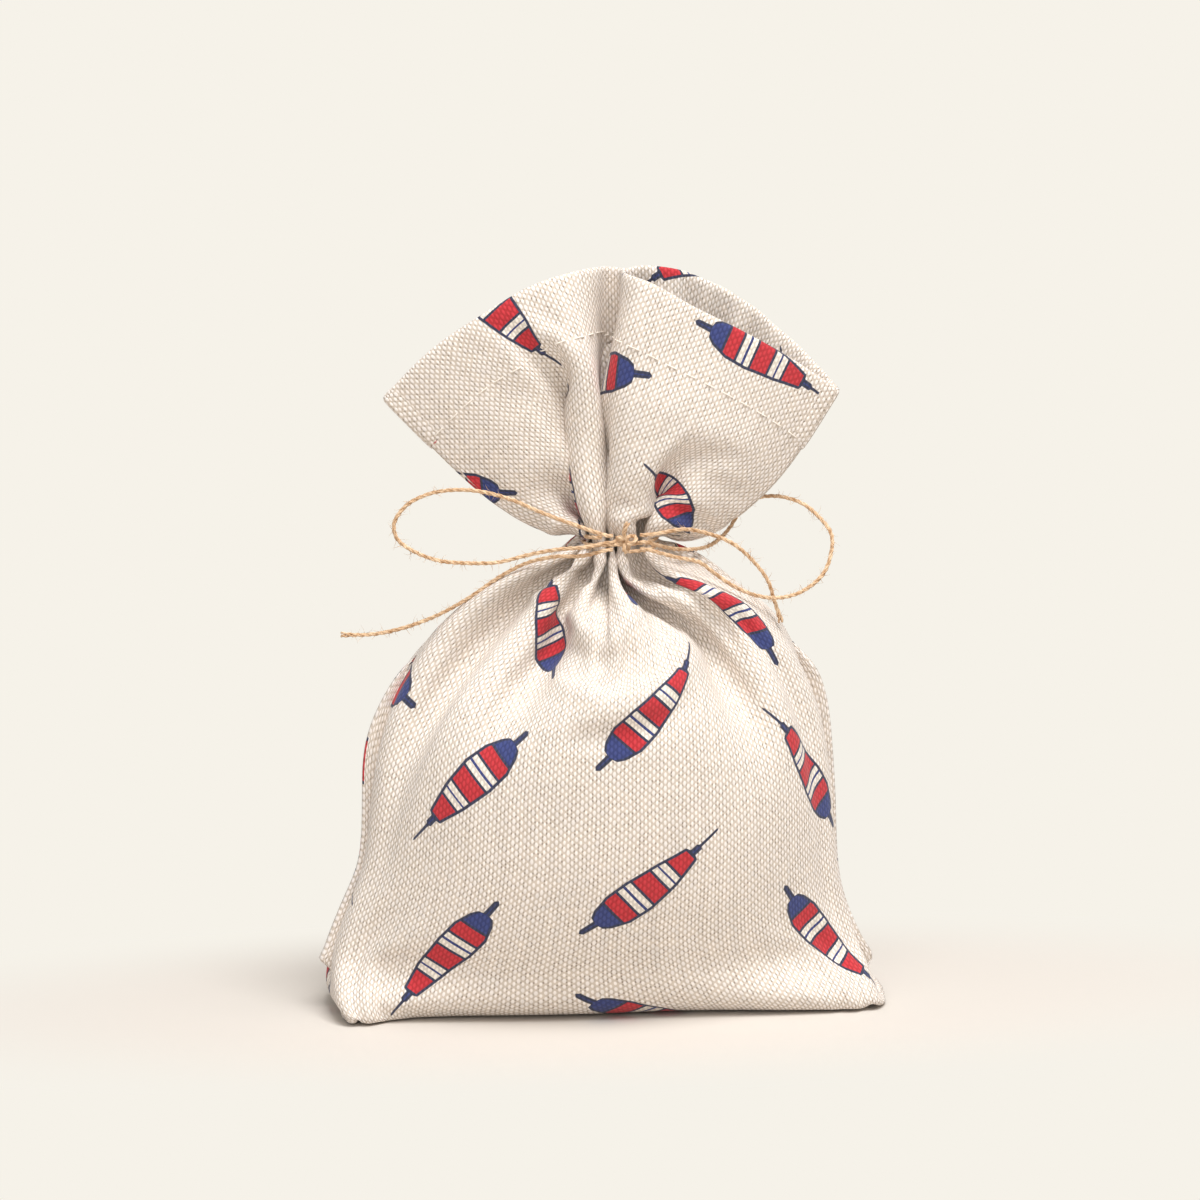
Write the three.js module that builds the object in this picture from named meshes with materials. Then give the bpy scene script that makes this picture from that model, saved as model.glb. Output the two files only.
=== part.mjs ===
import * as THREE from 'three';

// A small linen gift pouch, stuffed, standing on its base and tied round the neck with thin
// twine in a bow. Millimetres, +Z up, the front towards -Y. The origin is the middle of the
// base, on the surface that the pouch stands on.

// Filled body of the bag, measured over the cloth
const BASE_WIDTH = 113.6; // from corner to corner of the base
const CORNER_HEIGHT = 3; // the corners of the base stand this far off the surface
const FOOT_WIDTH = 108; // the part of the base that rests flat
const FOOT_DEPTH = 29;
const BELLY_WIDTH = 92.4;
const BELLY_DEPTH = 59;
const BELLY_HEIGHT = 47; // where the bag is deepest
const SHOULDER_WIDTH = 78;
const SHOULDER_DEPTH = 54;
const SHOULDER_HEIGHT = 70;
const TIE_HEIGHT = 94.5;
const NECK_WIDTH = 18;
const NECK_DEPTH = 13;
const NECK_SHIFT = 3.8; // the neck stands to the right of the middle of the base

// Open ruffle of cloth above the tie
const RUFFLE_LENGTH = 53.6; // from the top of the tied band
const RUFFLE_DEPTH = 14; // over both layers at the mouth, between the folds
const RUFFLE_LEAN_LOW = 79; // degrees from upright of the side seams at the tie
const RUFFLE_LEAN_TOP = 28; // and at the mouth
const RUFFLE_TILT = 2; // degrees that the ruffle's middle leans to the right
const SIDE_DRAW = 0.16; // share of the side seams' length that the tie draws in
const MOUTH_SHIFT = 1; // the foot of the mouth's middle thread from the middle of the base
const BACK_RISE = 1.6; // the back layer stands higher than the front one
const HEM_WIDTH = 10; // turned in and stitched
const HEM_EXTRA = 0.5; // the second thickness of cloth inside the hem

const WALL = 1; // cloth with its seam allowance
const SEAM_GAP = 0.3; // between the two panels, along the side seams and the base fold
const FIT_GAP = 0.4; // between pieces that lie against each other
const PACKED_BAND = 7; // the gathered cloth is packed solid this far past the tied band

// Twine
const TWINE = 1; // diameter
const TURN_GAP = 0.6; // between one turn round the neck and the next
const WRAP_TURNS = 2;
const KNOT_WIDTH = 4.6;
const KNOT_HEIGHT = 5.2;
const KNOT_DEPTH = 4.6;
const KNOT_HUMPS = 3; // turns of twine that show side by side
const KNOT_BULGE = 0.1; // share of the knot's radius that its middle stands out over its ends
const HUMP_RISE = 0.06; // and that each hump stands out over the dips beside it

// Facets
const COLUMNS = 36; // across a panel
const FOOT_ROWS = 2; // from the base fold out to the edge of the foot
const BODY_ROWS = 18; // up to the tie
const RUFFLE_ROWS = 9; // from the tie to the hem
const FILLING_SIDES = 28;
const TURN_STEPS = 24; // round the neck
const LEAD_STEPS = 8; // where the winding's two ends run into the knot
const KNOT_SIDES = 20;
const CORD_SIDES = 8;

// The neck is pressed smooth over the height of the winding
const WRAP_PITCH = TWINE + TURN_GAP;
const TIED_BAND = (WRAP_TURNS - 1) * WRAP_PITCH + TWINE + FIT_GAP;

const { lerp, smoothstep, degToRad } = THREE.MathUtils;

// Folds that run out of the tie. at: places across the panel where the fold leaves the tie and
// where it ends, -1 at the left seam and 1 at the right one; half: half width in the same
// measure; high: how far it stands out of the panel, below 0 for a valley; near and far: the
// distances from the tied band between which it runs, from the band itself where near isn't
// given. It keeps its full height over a first share of the way and then fades away.
const FULL_SHARE = 0.35;
const FRONT_RUFFLE_FOLDS = [
  { at: [-0.48, -0.66], half: 0.22, high: -4.5, far: 26 },
  { at: [-0.33, -0.31], half: 0.1, high: -4, near: 10, far: 50 },
  { at: [-0.2, -0.19], half: 0.1, high: 3, far: 66 },
  { at: [-0.1, -0.1], half: 0.08, high: -4, far: 44 },
  { at: [-0.06, -0.06], half: 0.09, high: -12, near: 26, far: 120 },
  { at: [0.12, 0.32], half: 0.48, high: 4.5, far: 80 },
  { at: [0.22, 0.46], half: 0.17, high: -8, far: 20 },
];
const FRONT_BODY_FOLDS = [
  { at: [-0.5, -0.74], half: 0.14, high: -9, far: 40 },
  { at: [-0.23, -0.38], half: 0.12, high: -10, far: 34 },
  { at: [-0.08, -0.05], half: 0.1, high: -9, far: 20 },
  { at: [0.15, 0.14], half: 0.09, high: -12, far: 29 },
  { at: [0.22, 0.58], half: 0.12, high: -12, far: 40 },
  { at: [0.68, 0.82], half: 0.15, high: -6.5, far: 30 },
];
const BACK_RUFFLE_FOLDS = [
  { at: [-0.64, -0.5], half: 0.22, high: 4.5, far: 48 },
  { at: [-0.2, -0.23], half: 0.13, high: 5, far: 70 },
  { at: [-0.08, -0.08], half: 0.08, high: -4, far: 54 },
  { at: [0.07, 0.09], half: 0.12, high: 5, far: 70 },
  { at: [0.22, 0.22], half: 0.08, high: -3.5, far: 54 },
  { at: [0.4, 0.42], half: 0.17, high: 5.5, far: 72 },
  { at: [0.74, 0.76], half: 0.18, high: 4, far: 56 },
];
const BACK_BODY_FOLDS = [
  { at: [-0.3, -0.75], half: 0.14, high: -12, far: 40 },
  { at: [0.02, -0.38], half: 0.12, high: -12, far: 34 },
  { at: [0.22, -0.02], half: 0.11, high: -11, far: 30 },
  { at: [0.36, 0.3], half: 0.1, high: -10, far: 31 },
  { at: [0.56, 0.66], half: 0.13, high: -8.5, far: 40 },
];

// Half width, half depth and height of the filled body, from the edge of the foot up to the
// tied band. Each station is a share of the way from one named section to the next.
const FOOT = [FOOT_WIDTH, FOOT_DEPTH, 0];
const CORNER = [BASE_WIDTH, lerp(FOOT_DEPTH, BELLY_DEPTH, 0.24), CORNER_HEIGHT];
const BELLY = [BELLY_WIDTH, BELLY_DEPTH, BELLY_HEIGHT];
const SHOULDER = [SHOULDER_WIDTH, SHOULDER_DEPTH, SHOULDER_HEIGHT];
const NECK = [NECK_WIDTH, NECK_DEPTH, TIE_HEIGHT - TIED_BAND / 2];
const station = (from, to, width, depth, height) => new THREE.Vector3(
  lerp(from[0], to[0], width) / 2,
  lerp(from[1], to[1], depth) / 2,
  lerp(from[2], to[2], height),
);
const bodyProfile = new THREE.CatmullRomCurve3(
  [
    station(FOOT, CORNER, 0, 0, 0),
    station(FOOT, CORNER, 0.75, 0.55, 0.4),
    station(CORNER, BELLY, 0, 0, 0),
    station(CORNER, BELLY, 0.24, 0.36, 0.13),
    station(CORNER, BELLY, 0.57, 0.68, 0.4),
    station(CORNER, BELLY, 0.85, 0.92, 0.7),
    station(BELLY, SHOULDER, 0, 0, 0),
    station(BELLY, SHOULDER, 0.45, 0.4, 0.65),
    station(SHOULDER, NECK, 0, 0, 0),
    station(SHOULDER, NECK, 0.15, 0.17, 0.31),
    station(SHOULDER, NECK, 0.39, 0.42, 0.63),
    station(SHOULDER, NECK, 0.72, 0.74, 0.86),
    station(SHOULDER, NECK, 0.92, 0.92, 0.96),
    station(SHOULDER, NECK, 1, 1, 1),
  ],
  false,
  'centripetal',
);

// Rows lie closest together at the corners of the base and at the tie
const bodyShares = Array.from({ length: BODY_ROWS + 1 }, (_, row) => {
  const even = row / BODY_ROWS;
  return even - Math.sin(2 * Math.PI * even) / (4 * Math.PI);
});

// The section at a share of the way up the body, set in by a distance square to the profile. Its
// middle moves over to the neck's above a share of the neck's height.
const UPRIGHT_SHARE = 0.6;
function bodySection(share, inset) {
  const point = bodyProfile.getPointAt(share);
  const tangent = bodyProfile.getTangentAt(share);
  const outward = (tangent.x + tangent.y) / 2;
  const slope = Math.hypot(outward, tangent.z);
  return {
    halfWidth: point.x - (inset * tangent.z) / slope,
    halfDepth: point.y - (inset * tangent.z) / slope,
    height: point.z + (inset * outward) / slope,
    level: point.z,
    middle: NECK_SHIFT * smoothstep(point.z, UPRIGHT_SHARE * NECK[2], NECK[2]),
  };
}

// Share of its depth that a section keeps across its width, a power of the cosine: 1 gives an
// ellipse, which is squarer at the foot and drawn to a point at the corners of the base
const FOOT_SQUARED = 0.75;
const CORNER_DRAWN = 0.12;
function sectionShape(turn, level) {
  const round = Math.max(0, Math.cos(turn));
  const foot = 1 - smoothstep(level, 0, 3 * CORNER_HEIGHT);
  const corner = 1 - smoothstep(level, CORNER_HEIGHT, BELLY_HEIGHT);
  return round ** (1 + CORNER_DRAWN * corner - FOOT_SQUARED * foot);
}

// Where a fold's middle lies across the panel at a distance from the tied band
const foldMiddle = ({ at, far }, fromBand) => lerp(at[0], at[1], Math.min(1, fromBand / far));

// How far the folds stand out at one place, as cosine humps and valleys that the tied band
// presses smooth
function foldHeight(folds, place, fromBand) {
  return folds.reduce((sum, fold) => {
    const { half, high, near = 0, far } = fold;
    const across = Math.min(1, Math.abs(place - foldMiddle(fold, fromBand)) / half);
    const begun = smoothstep(fromBand, near, near + PACKED_BAND);
    const faded = 1 - smoothstep(fromBand, lerp(near, far, FULL_SHARE), far);
    return sum + high * begun * faded * Math.cos((across * Math.PI) / 2) ** 2;
  }, 0);
}

// One panel of the bag as two grids of points, its outside and its inside. The side is -1 for
// the front and 1 for the back.
function panelGrids(side, bodyFolds, ruffleFolds, rise) {
  const grids = { outside: [], inside: [] };
  const turns = Array.from({ length: COLUMNS + 1 }, (_, i) => (i / COLUMNS - 0.5) * Math.PI);
  // the two panels stay apart, and the floor of a valley keeps its thickness
  const awayFromSeam = (depth, wall, shape) => (
    side * Math.max(SEAM_GAP / 2 + Math.max(0, WALL - wall) * shape, depth));
  const addRow = (pointAt, wall) => {
    grids.outside.push(turns.map((turn) => pointAt(turn, 0)));
    grids.inside.push(turns.map((turn) => pointAt(turn, wall)));
  };

  // flat on the surface, from the base fold to the edge of the foot
  for (let row = 0; row < FOOT_ROWS; row += 1) {
    const share = row / FOOT_ROWS;
    addRow((turn, wall) => {
      const shape = sectionShape(turn, 0) * share;
      return new THREE.Vector3(
        (FOOT_WIDTH / 2 - wall) * Math.sin(turn),
        awayFromSeam((FOOT_DEPTH / 2 - wall) * shape, wall, 0),
        wall,
      );
    }, WALL);
  }

  // the filled body
  bodyShares.forEach((share) => {
    addRow((turn, wall) => {
      const { halfWidth, halfDepth, height, level, middle } = bodySection(share, wall);
      const fromBand = TIE_HEIGHT - TIED_BAND / 2 - level;
      const packed = wall > 0 ? 1 - smoothstep(fromBand, PACKED_BAND, 2 * PACKED_BAND) : 0;
      const shape = sectionShape(turn, level);
      const fold = foldHeight(bodyFolds, turn / (Math.PI / 2), fromBand) * Math.sqrt(shape);
      return new THREE.Vector3(
        middle + halfWidth * Math.sin(turn),
        awayFromSeam((halfDepth * shape + fold) * (1 - packed), wall, shape),
        height,
      );
    }, WALL);
  });

  // the ruffle, whose threads fan out of the tie, with the hem's second thickness at the mouth
  const hemFoot = RUFFLE_LENGTH - HEM_WIDTH;
  const levels = Array.from({ length: RUFFLE_ROWS + 1 }, (_, i) => (i / RUFFLE_ROWS) * hemFoot);
  levels.push(hemFoot + HEM_EXTRA, hemFoot + HEM_WIDTH / 2, RUFFLE_LENGTH);
  levels.forEach((level) => {
    const share = level / RUFFLE_LENGTH;
    const free = smoothstep(level, 0, 2 * PACKED_BAND);
    const lean = lerp(RUFFLE_LEAN_LOW, RUFFLE_LEAN_TOP, share / 2);
    const direction = (place) => degToRad(lean * place + RUFFLE_TILT);
    const layer = lerp(NECK_DEPTH, RUFFLE_DEPTH, share) / 2;
    addRow((turn, wall) => {
      const place = turn / (Math.PI / 2);
      const packed = wall > 0 ? 1 - smoothstep(level, PACKED_BAND, 3 * PACKED_BAND) : 0;
      const length = level * (1 - SIDE_DRAW * Math.abs(place)) + rise * share;
      const shape = Math.max(0, Math.cos(turn)) ** lerp(1, 0.5, free);
      const fold = foldHeight(ruffleFolds, place, level) * Math.sqrt(shape);
      const start = (NECK_WIDTH / 2 - wall) * lerp(Math.sin(turn), place, free);
      return new THREE.Vector3(
        lerp(NECK_SHIFT, MOUTH_SHIFT, share) + start + length * Math.sin(direction(place)),
        awayFromSeam(((layer - wall) * shape + fold) * (1 - packed), wall, shape),
        TIE_HEIGHT + TIED_BAND / 2 + length * Math.cos(direction(place)),
      );
    }, WALL + (level > hemFoot ? HEM_EXTRA : 0));
  });
  return grids;
}

function geometryOf(points, faces) {
  const geometry = new THREE.BufferGeometry();
  const values = points.flatMap((point) => point.toArray());
  geometry.setAttribute('position', new THREE.Float32BufferAttribute(values, 3));
  geometry.setIndex(faces);
  geometry.computeVertexNormals();
  return geometry;
}

// The closed solid between two grids of points with the same rows and columns, and its faces
// turned for the side of the bag that it is on
function panelGeometry(side, { outside, inside }) {
  const top = outside.length - 1;
  const last = outside[0].length - 1;
  const outer = (row, column) => row * (last + 1) + column;
  const inner = (row, column) => (top + 1 + row) * (last + 1) + column;
  const faces = [];
  const addQuad = (a, b, c, d) => {
    faces.push(...(side < 0 ? [a, b, c, a, c, d] : [a, c, b, a, d, c]));
  };
  for (let row = 0; row < top; row += 1) {
    const up = row + 1;
    for (let column = 0; column < last; column += 1) {
      const next = column + 1;
      addQuad(outer(row, column), outer(row, next), outer(up, next), outer(up, column));
      addQuad(inner(row, column), inner(up, column), inner(up, next), inner(row, next));
    }
    addQuad(outer(row, 0), outer(up, 0), inner(up, 0), inner(row, 0));
    addQuad(outer(row, last), inner(row, last), inner(up, last), outer(up, last));
  }
  for (let column = 0; column < last; column += 1) {
    const next = column + 1;
    addQuad(outer(0, column), inner(0, column), inner(0, next), outer(0, next));
    addQuad(outer(top, column), outer(top, next), inner(top, next), inner(top, column));
  }
  return geometryOf([...outside.flat(), ...inside.flat()], faces);
}

// Depth of the body's deepest valley at a distance from the tied band
function deepestValley(fromBand) {
  const heights = [...FRONT_BODY_FOLDS, ...BACK_BODY_FOLDS].map((fold) => (
    foldHeight([fold], foldMiddle(fold, fromBand), fromBand)));
  return -Math.min(0, ...heights);
}

// The wadding: rings that follow the inside of the cloth up to where the neck is packed, drawn
// in as far as the deepest valley at their level, and closed by a point in the middle of each end
function fillingGeometry() {
  const top = NECK[2] - 2 * PACKED_BAND - FIT_GAP;
  const sections = bodyShares.map((share) => bodySection(share, WALL + FIT_GAP))
    .filter((section) => section.level < top);
  const points = sections.flatMap((section) => (
    Array.from({ length: FILLING_SIDES }, (_, step) => {
      const turn = (2 * Math.PI * step) / FILLING_SIDES;
      const shape = sectionShape(Math.asin(Math.sin(turn)), section.level);
      const kept = 1 - deepestValley(NECK[2] - section.level) / section.halfDepth;
      return new THREE.Vector3(
        section.middle + kept * section.halfWidth * Math.sin(turn),
        -Math.sign(Math.cos(turn)) * kept * section.halfDepth * shape,
        section.height,
      );
    })
  ));
  const highest = sections[sections.length - 1];
  const low = points.push(new THREE.Vector3(0, 0, WALL + FIT_GAP)) - 1;
  const high = points.push(new THREE.Vector3(highest.middle, 0, highest.height + FIT_GAP)) - 1;
  const faces = [];
  sections.forEach((section, ring) => {
    for (let step = 0; step < FILLING_SIDES; step += 1) {
      const a = ring * FILLING_SIDES + step;
      const b = ring * FILLING_SIDES + ((step + 1) % FILLING_SIDES);
      if (ring === 0) faces.push(low, b, a);
      if (section === highest) faces.push(high, a, b);
      else faces.push(a, b, a + FILLING_SIDES, b, b + FILLING_SIDES, a + FILLING_SIDES);
    }
  });
  return geometryOf(points, faces);
}

// The knot lies in front of the turns round the neck. Its strands leave its two side faces one
// above another, and the winding's two ends go into the same faces nearer the neck.
const KNOT = new THREE.Vector3(
  NECK_SHIFT,
  -(NECK_DEPTH / 2 + 2 * FIT_GAP + TWINE + KNOT_DEPTH / 2),
  TIE_HEIGHT,
);
const KNOT_REACH = KNOT_WIDTH / 2 + FIT_GAP; // from its middle to where a strand starts
const SOCKET_STEP = TWINE + FIT_GAP;

// Plump turns of twine side by side, as one closed profile turned about the X axis
function knotGeometry() {
  const steps = 4 * KNOT_HUMPS;
  const profile = [new THREE.Vector2(0, -KNOT_WIDTH / 2)];
  for (let step = 0; step <= steps; step += 1) {
    const share = step / steps;
    const bulge = KNOT_BULGE * (1 - Math.sin(Math.PI * share));
    const dip = HUMP_RISE * (1 - Math.abs(Math.sin(Math.PI * KNOT_HUMPS * share)));
    const radius = (KNOT_HEIGHT / 2) * (1 - bulge - dip);
    profile.push(new THREE.Vector2(radius, (share - 0.5) * KNOT_WIDTH));
  }
  profile.push(new THREE.Vector2(0, KNOT_WIDTH / 2));
  return new THREE.LatheGeometry(profile, KNOT_SIDES).rotateZ(-Math.PI / 2)
    .scale(1, KNOT_DEPTH / KNOT_HEIGHT, 1);
}

// The twine's winding: turns round the neck that climb where they pass behind the knot, with
// straight ends that run into the knot's side faces
function wrapPoints() {
  const across = NECK_WIDTH / 2 + FIT_GAP + TWINE / 2;
  const deep = NECK_DEPTH / 2 + FIT_GAP + TWINE / 2;
  const clearTurn = Math.asin((KNOT_REACH + 3 * TWINE) / across);
  const steps = WRAP_TURNS * TURN_STEPS;
  const turns = Array.from({ length: steps + 1 }, (_, step) => {
    const turn = lerp(clearTurn, 2 * Math.PI * WRAP_TURNS - clearTurn, step / steps);
    const count = Math.round(turn / (2 * Math.PI));
    const past = turn - 2 * Math.PI * count;
    const climb = smoothstep(past, -clearTurn, clearTurn);
    return new THREE.Vector3(
      NECK_SHIFT + across * Math.sin(turn),
      -deep * Math.cos(turn),
      TIE_HEIGHT + WRAP_PITCH * (count + climb - (WRAP_TURNS + 1) / 2),
    );
  });
  const socket = KNOT.y + KNOT_DEPTH / 2 - TWINE;
  const lead = (side) => [0, TWINE].map((run) => new THREE.Vector3(
    KNOT.x + side * (KNOT_REACH + run), socket, TIE_HEIGHT));
  return [...lead(1), ...turns, ...lead(-1).reverse()];
}

// Least gap between stretches of a winding that lie more than half a turn apart
function leastGap(path, turns, diameter) {
  const halfTurn = 100;
  const samples = path.getSpacedPoints(2 * halfTurn * turns);
  let least = Infinity;
  samples.forEach((point, i) => {
    samples.slice(i + halfTurn).forEach((other) => {
      least = Math.min(least, point.distanceTo(other));
    });
  });
  return least - diameter;
}

function cordGeometry(path, steps) {
  const section = new THREE.Shape(Array.from({ length: CORD_SIDES }, (_, side) => {
    const angle = (2 * Math.PI * (side + 0.5)) / CORD_SIDES;
    return new THREE.Vector2(Math.cos(angle), Math.sin(angle)).multiplyScalar(TWINE / 2);
  }));
  return new THREE.ExtrudeGeometry(section, { steps, bevelEnabled: false, extrudePath: path });
}

// The free strands' routes, each from its place in a side face of the knot. The left loop stands
// out in front of the ruffle and the left tail lies along the shoulder. The right loop goes
// behind the ruffle and comes back in front of the shoulder, and the right tail's end rests on it.
const faceRow = KNOT.y - KNOT_DEPTH / 4; // in front of the winding's ends
const strandStart = (side, level) => [0, TWINE].map((run) => [
  KNOT.x + side * (KNOT_REACH + run), faceRow, KNOT.z + level * SOCKET_STEP]);
const STRANDS = [
  {
    name: 'bow_loop_left',
    steps: 25,
    route: [
      ...strandStart(-1, 1),
      [-6.5, -11.4, 99.1], [-13.4, -10.4, 101.7], [-18.6, -9.6, 104], [-24.1, -9, 105.6],
      [-29.3, -8.6, 106.1], [-34.9, -8.4, 105.4], [-39.6, -8.4, 103.1], [-42, -8.6, 99.6],
      [-41.4, -8.8, 96.6], [-38.3, -9, 94.2], [-33.6, -9.2, 92.3], [-27.5, -9.4, 91.6],
      [-21.4, -9.6, 91.7], [-15.9, -10.2, 93.1], [-9.9, -11.2, 94.3], [-4.6, -11.8, 94.7],
      ...strandStart(-1, 0).reverse(),
    ],
  },
  {
    name: 'bow_tail_left',
    steps: 15,
    route: [
      ...strandStart(-1, -1),
      [-5.1, -10.6, 92.8], [-10.4, -8.6, 92.4], [-15.6, -6.6, 90.9], [-21, -5, 87.9],
      [-26.3, -4.4, 84.2], [-32.5, -4.2, 80.7], [-39.5, -4.6, 78.2], [-46.3, -5, 77],
      [-52.4, -5.4, 77.1],
    ],
  },
  {
    name: 'bow_tail_right',
    steps: 11,
    route: [
      ...strandStart(1, 1),
      [10.5, -11.4, 97.2], [15.4, -10.4, 97.7], [20.4, -9.4, 96.5], [25.3, -8.8, 94.3],
      [29.6, -8.6, 90.5], [32.4, -8.6, 86.7], [33.6, -8.4, 83.1], [35.2, -8, 78.2],
    ],
  },
  {
    name: 'bow_loop_right',
    steps: 28,
    route: [
      ...strandStart(1, 0),
      [12.3, -9, 93.8], [17.8, -4, 92.6], [22.6, 1.5, 92.6], [26.4, 5, 94.9],
      [28.9, 6, 98.3], [31.3, 5.6, 100.8], [35.7, 4, 101.8], [40.8, 1.5, 100.6],
      [44, -0.5, 98], [46.1, -2.5, 94.9], [45.8, -4.5, 91.4], [43.9, -6.2, 87.4],
      [39.4, -8, 84.3], [34.4, -9.6, 83.4], [29.4, -11, 84.3], [24.4, -12, 86.7],
      [21, -12, 89.1], [18.2, -11.8, 91.2], [13.5, -12, 92.4],
      ...strandStart(1, -1).reverse(),
    ],
  },
];

const linen = new THREE.MeshStandardMaterial({ color: '#dfd1c1', roughness: 0.9 });
const wadding = new THREE.MeshStandardMaterial({ color: '#f0ece4', roughness: 1 });
const jute = new THREE.MeshStandardMaterial({ color: '#b98f5a', roughness: 0.85 });

const pouch = new THREE.Group();
function add(name, geometry, material) {
  const mesh = new THREE.Mesh(geometry, material);
  mesh.name = name;
  pouch.add(mesh);
  return mesh;
}

const front = panelGrids(-1, FRONT_BODY_FOLDS, FRONT_RUFFLE_FOLDS, 0);
const back = panelGrids(1, BACK_BODY_FOLDS, BACK_RUFFLE_FOLDS, BACK_RISE);
add('front_panel', panelGeometry(-1, front), linen);
add('back_panel', panelGeometry(1, back), linen);
add('filling', fillingGeometry(), wadding);

const wrapPath = new THREE.CatmullRomCurve3(wrapPoints(), false, 'centripetal');
console.log(`neck_wrap: least gap ${leastGap(wrapPath, WRAP_TURNS, TWINE).toFixed(2)} mm`);
add('neck_wrap', cordGeometry(wrapPath, WRAP_TURNS * TURN_STEPS + LEAD_STEPS), jute);
add('bow_knot', knotGeometry(), jute).position.copy(KNOT);
STRANDS.forEach(({ name, steps, route }) => {
  const points = route.map((point) => new THREE.Vector3(...point));
  const path = new THREE.CatmullRomCurve3(points, false, 'centripetal');
  console.log(`${name}: ${path.getLength().toFixed(0)} mm long`);
  add(name, cordGeometry(path, steps), jute);
});

export default pouch;
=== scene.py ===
import math

import bpy
import numpy as np
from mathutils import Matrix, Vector


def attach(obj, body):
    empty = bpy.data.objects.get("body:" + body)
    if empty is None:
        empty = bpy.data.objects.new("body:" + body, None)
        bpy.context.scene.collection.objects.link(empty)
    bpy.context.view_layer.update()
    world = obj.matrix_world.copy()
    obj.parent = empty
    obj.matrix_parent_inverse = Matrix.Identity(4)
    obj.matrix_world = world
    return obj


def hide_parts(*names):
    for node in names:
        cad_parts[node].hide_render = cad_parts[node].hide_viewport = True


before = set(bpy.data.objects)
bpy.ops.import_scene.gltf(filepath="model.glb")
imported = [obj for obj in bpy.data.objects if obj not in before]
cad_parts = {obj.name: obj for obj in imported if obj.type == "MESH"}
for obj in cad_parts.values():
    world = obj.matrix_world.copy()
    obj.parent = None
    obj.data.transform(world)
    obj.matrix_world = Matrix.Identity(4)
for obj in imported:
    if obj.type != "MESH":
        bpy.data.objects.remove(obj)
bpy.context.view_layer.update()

# Shapes are worked out in millimetres and put into the meshes in metres.
MM = 0.001

# The cloth: one strip folded at the bottom and sewn up both sides, so two faces of this size
FACE_HALF = 60.0
CLOTH_HIGH = 176.0
CLOTH_THICK = 0.6

# The side seams: how wide the allowances are, over which height they reach that, and their least share of it
SEAM_ALLOWANCE = 4.0
ALLOWANCE_RISE = 24.0
LEAST_ALLOWANCE_SHARE = 0.15

# Beside a seam: how far in the cloth bends and turns over, how far apart the faces lie, and that at the bend
SEAM_BEND, SEAM_TURN = 0.1, 0.9
SEAM_GAP = 0.16
SEAM_SPREAD = 1.6

# The hem: its width, how deep it lies inside the face, and over which distance from a seam it gets there
HEM_WIDTH = 14.0
HEM_DEPTH = 0.85
HEM_FADE = 9.0
LEAST_HEM_SHARE = 0.1

# The hem's lip: how far it stands above the mouth and inside it, and the cloth that the turn takes up
LIP_RISE, LIP_DEPTH = 0.35, 0.75
LIP_CLOTH, TURN_CLOTH = 0.8, 1.5

# Rounds that even out the directions in which the hem and the layers stand off the face
NORMAL_ROUNDS = 6

# Gap between the two faces of the strip where it lies flat for the weave and the print
FLAT_GAP = 10.0

# The cloth's simulation: two grids of points, first coarse and then fine
COARSE_STEP, COARSE_ROUNDS = 4.0, 150
FINE_STEP, FINE_ROUNDS = 2.0, 250

# Share of a pair's missing length that a pass puts right, by kind of pair, passes in a round, and speed kept
LENGTH_SHARES = {"thread": 1.0, "shear": 0.15, 2: 0.10, 4: 0.03}
BENDING_STEPS = (2, 4)
LENGTH_PASSES = 2
KEPT_SPEED = 0.9

# How much of the way to its charted place each round draws the cloth, by the part of it
PULLS = {
    "belly": 0.01,
    "shoulders": 0.20,
    "ruffle": 0.05,
    "mouth": 0.10,
    "ruffle_edge": 0.30,
    "side_seam": 0.06,
    "low_belly": 0.03,
    "foot": 0.30,
}

# Where those parts begin, in millimetres along the cloth's height and from its middle line
FOOT_END, LOW_BELLY_END = 18.0, 30.0
MOUTH_BAND = 4.0
RUFFLE_EDGE, SIDE_SEAM = 58.0, 57.0

# The filling's outward press for each millimetre of the grid, and how far under the tie it fades out
FILLING_PRESS = 0.008
PRESS_END, PRESS_FADE = 6.0, 20.0

# Cloth this near the tie stays as charted, and from this far under it the fine grid passes into the chart
TIE_REACH = 2.1
RUFFLE_BLEND = 8.0

# How far apart layers stay, every how many rounds that is done, and from how many steps along the cloth on
CLOTH_CLEARANCE = 1.2
TOUCH_ROUNDS = 4
TOUCH_STEPS = 2.1
FLOOR_LIFT = 0.3

# Crinkles evened out by the mouth: from where along the width and above the tie, over how much, and how often
CRINKLE_SIDE, CRINKLE_ABOVE = 32.0, 8.0
CRINKLE_FADE = 10.0
CRINKLE_ROUNDS = 5

# The body: height, left edge, right edge and half depth, at the levels where its outline turns
BODY_SECTIONS = np.array([
    [0.0, -52.5, 56.2, 14.0],
    [3.5, -55.4, 55.4, 17.2],
    [9.8, -53.9, 51.4, 21.0],
    [21.1, -49.6, 46.6, 25.4],
    [29.3, -45.8, 45.4, 27.8],
    [39.6, -45.2, 44.8, 28.8],
    [49.9, -44.8, 43.8, 29.0],
    [58.0, -43.6, 42.8, 28.6],
    [64.1, -40.8, 41.0, 27.6],
    [70.2, -38.1, 38.6, 26.0],
    [77.2, -33.2, 35.4, 22.8],
    [84.2, -25.2, 30.4, 17.2],
    [89.2, -13.0, 20.4, 11.8],
    [94.5, -5.2, 12.8, 6.5],
])

# The flat foot: half its depth, over which height the body passes into it, and how square it is at the floor
FOOT_HALF_DEPTH = 13.8
FOOT_RISE = 16.0
FOOT_POWER = 0.35

# The power that shapes the body's rings: what the belly adds to 1 and the foot takes away, with their heights
BELLY_POWER, BELLY_RISE = 0.2, 47.0
FOOT_SQUARING, SQUARING_RISE = 0.85, 12.0
BODY_LEVELS = 400

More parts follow.
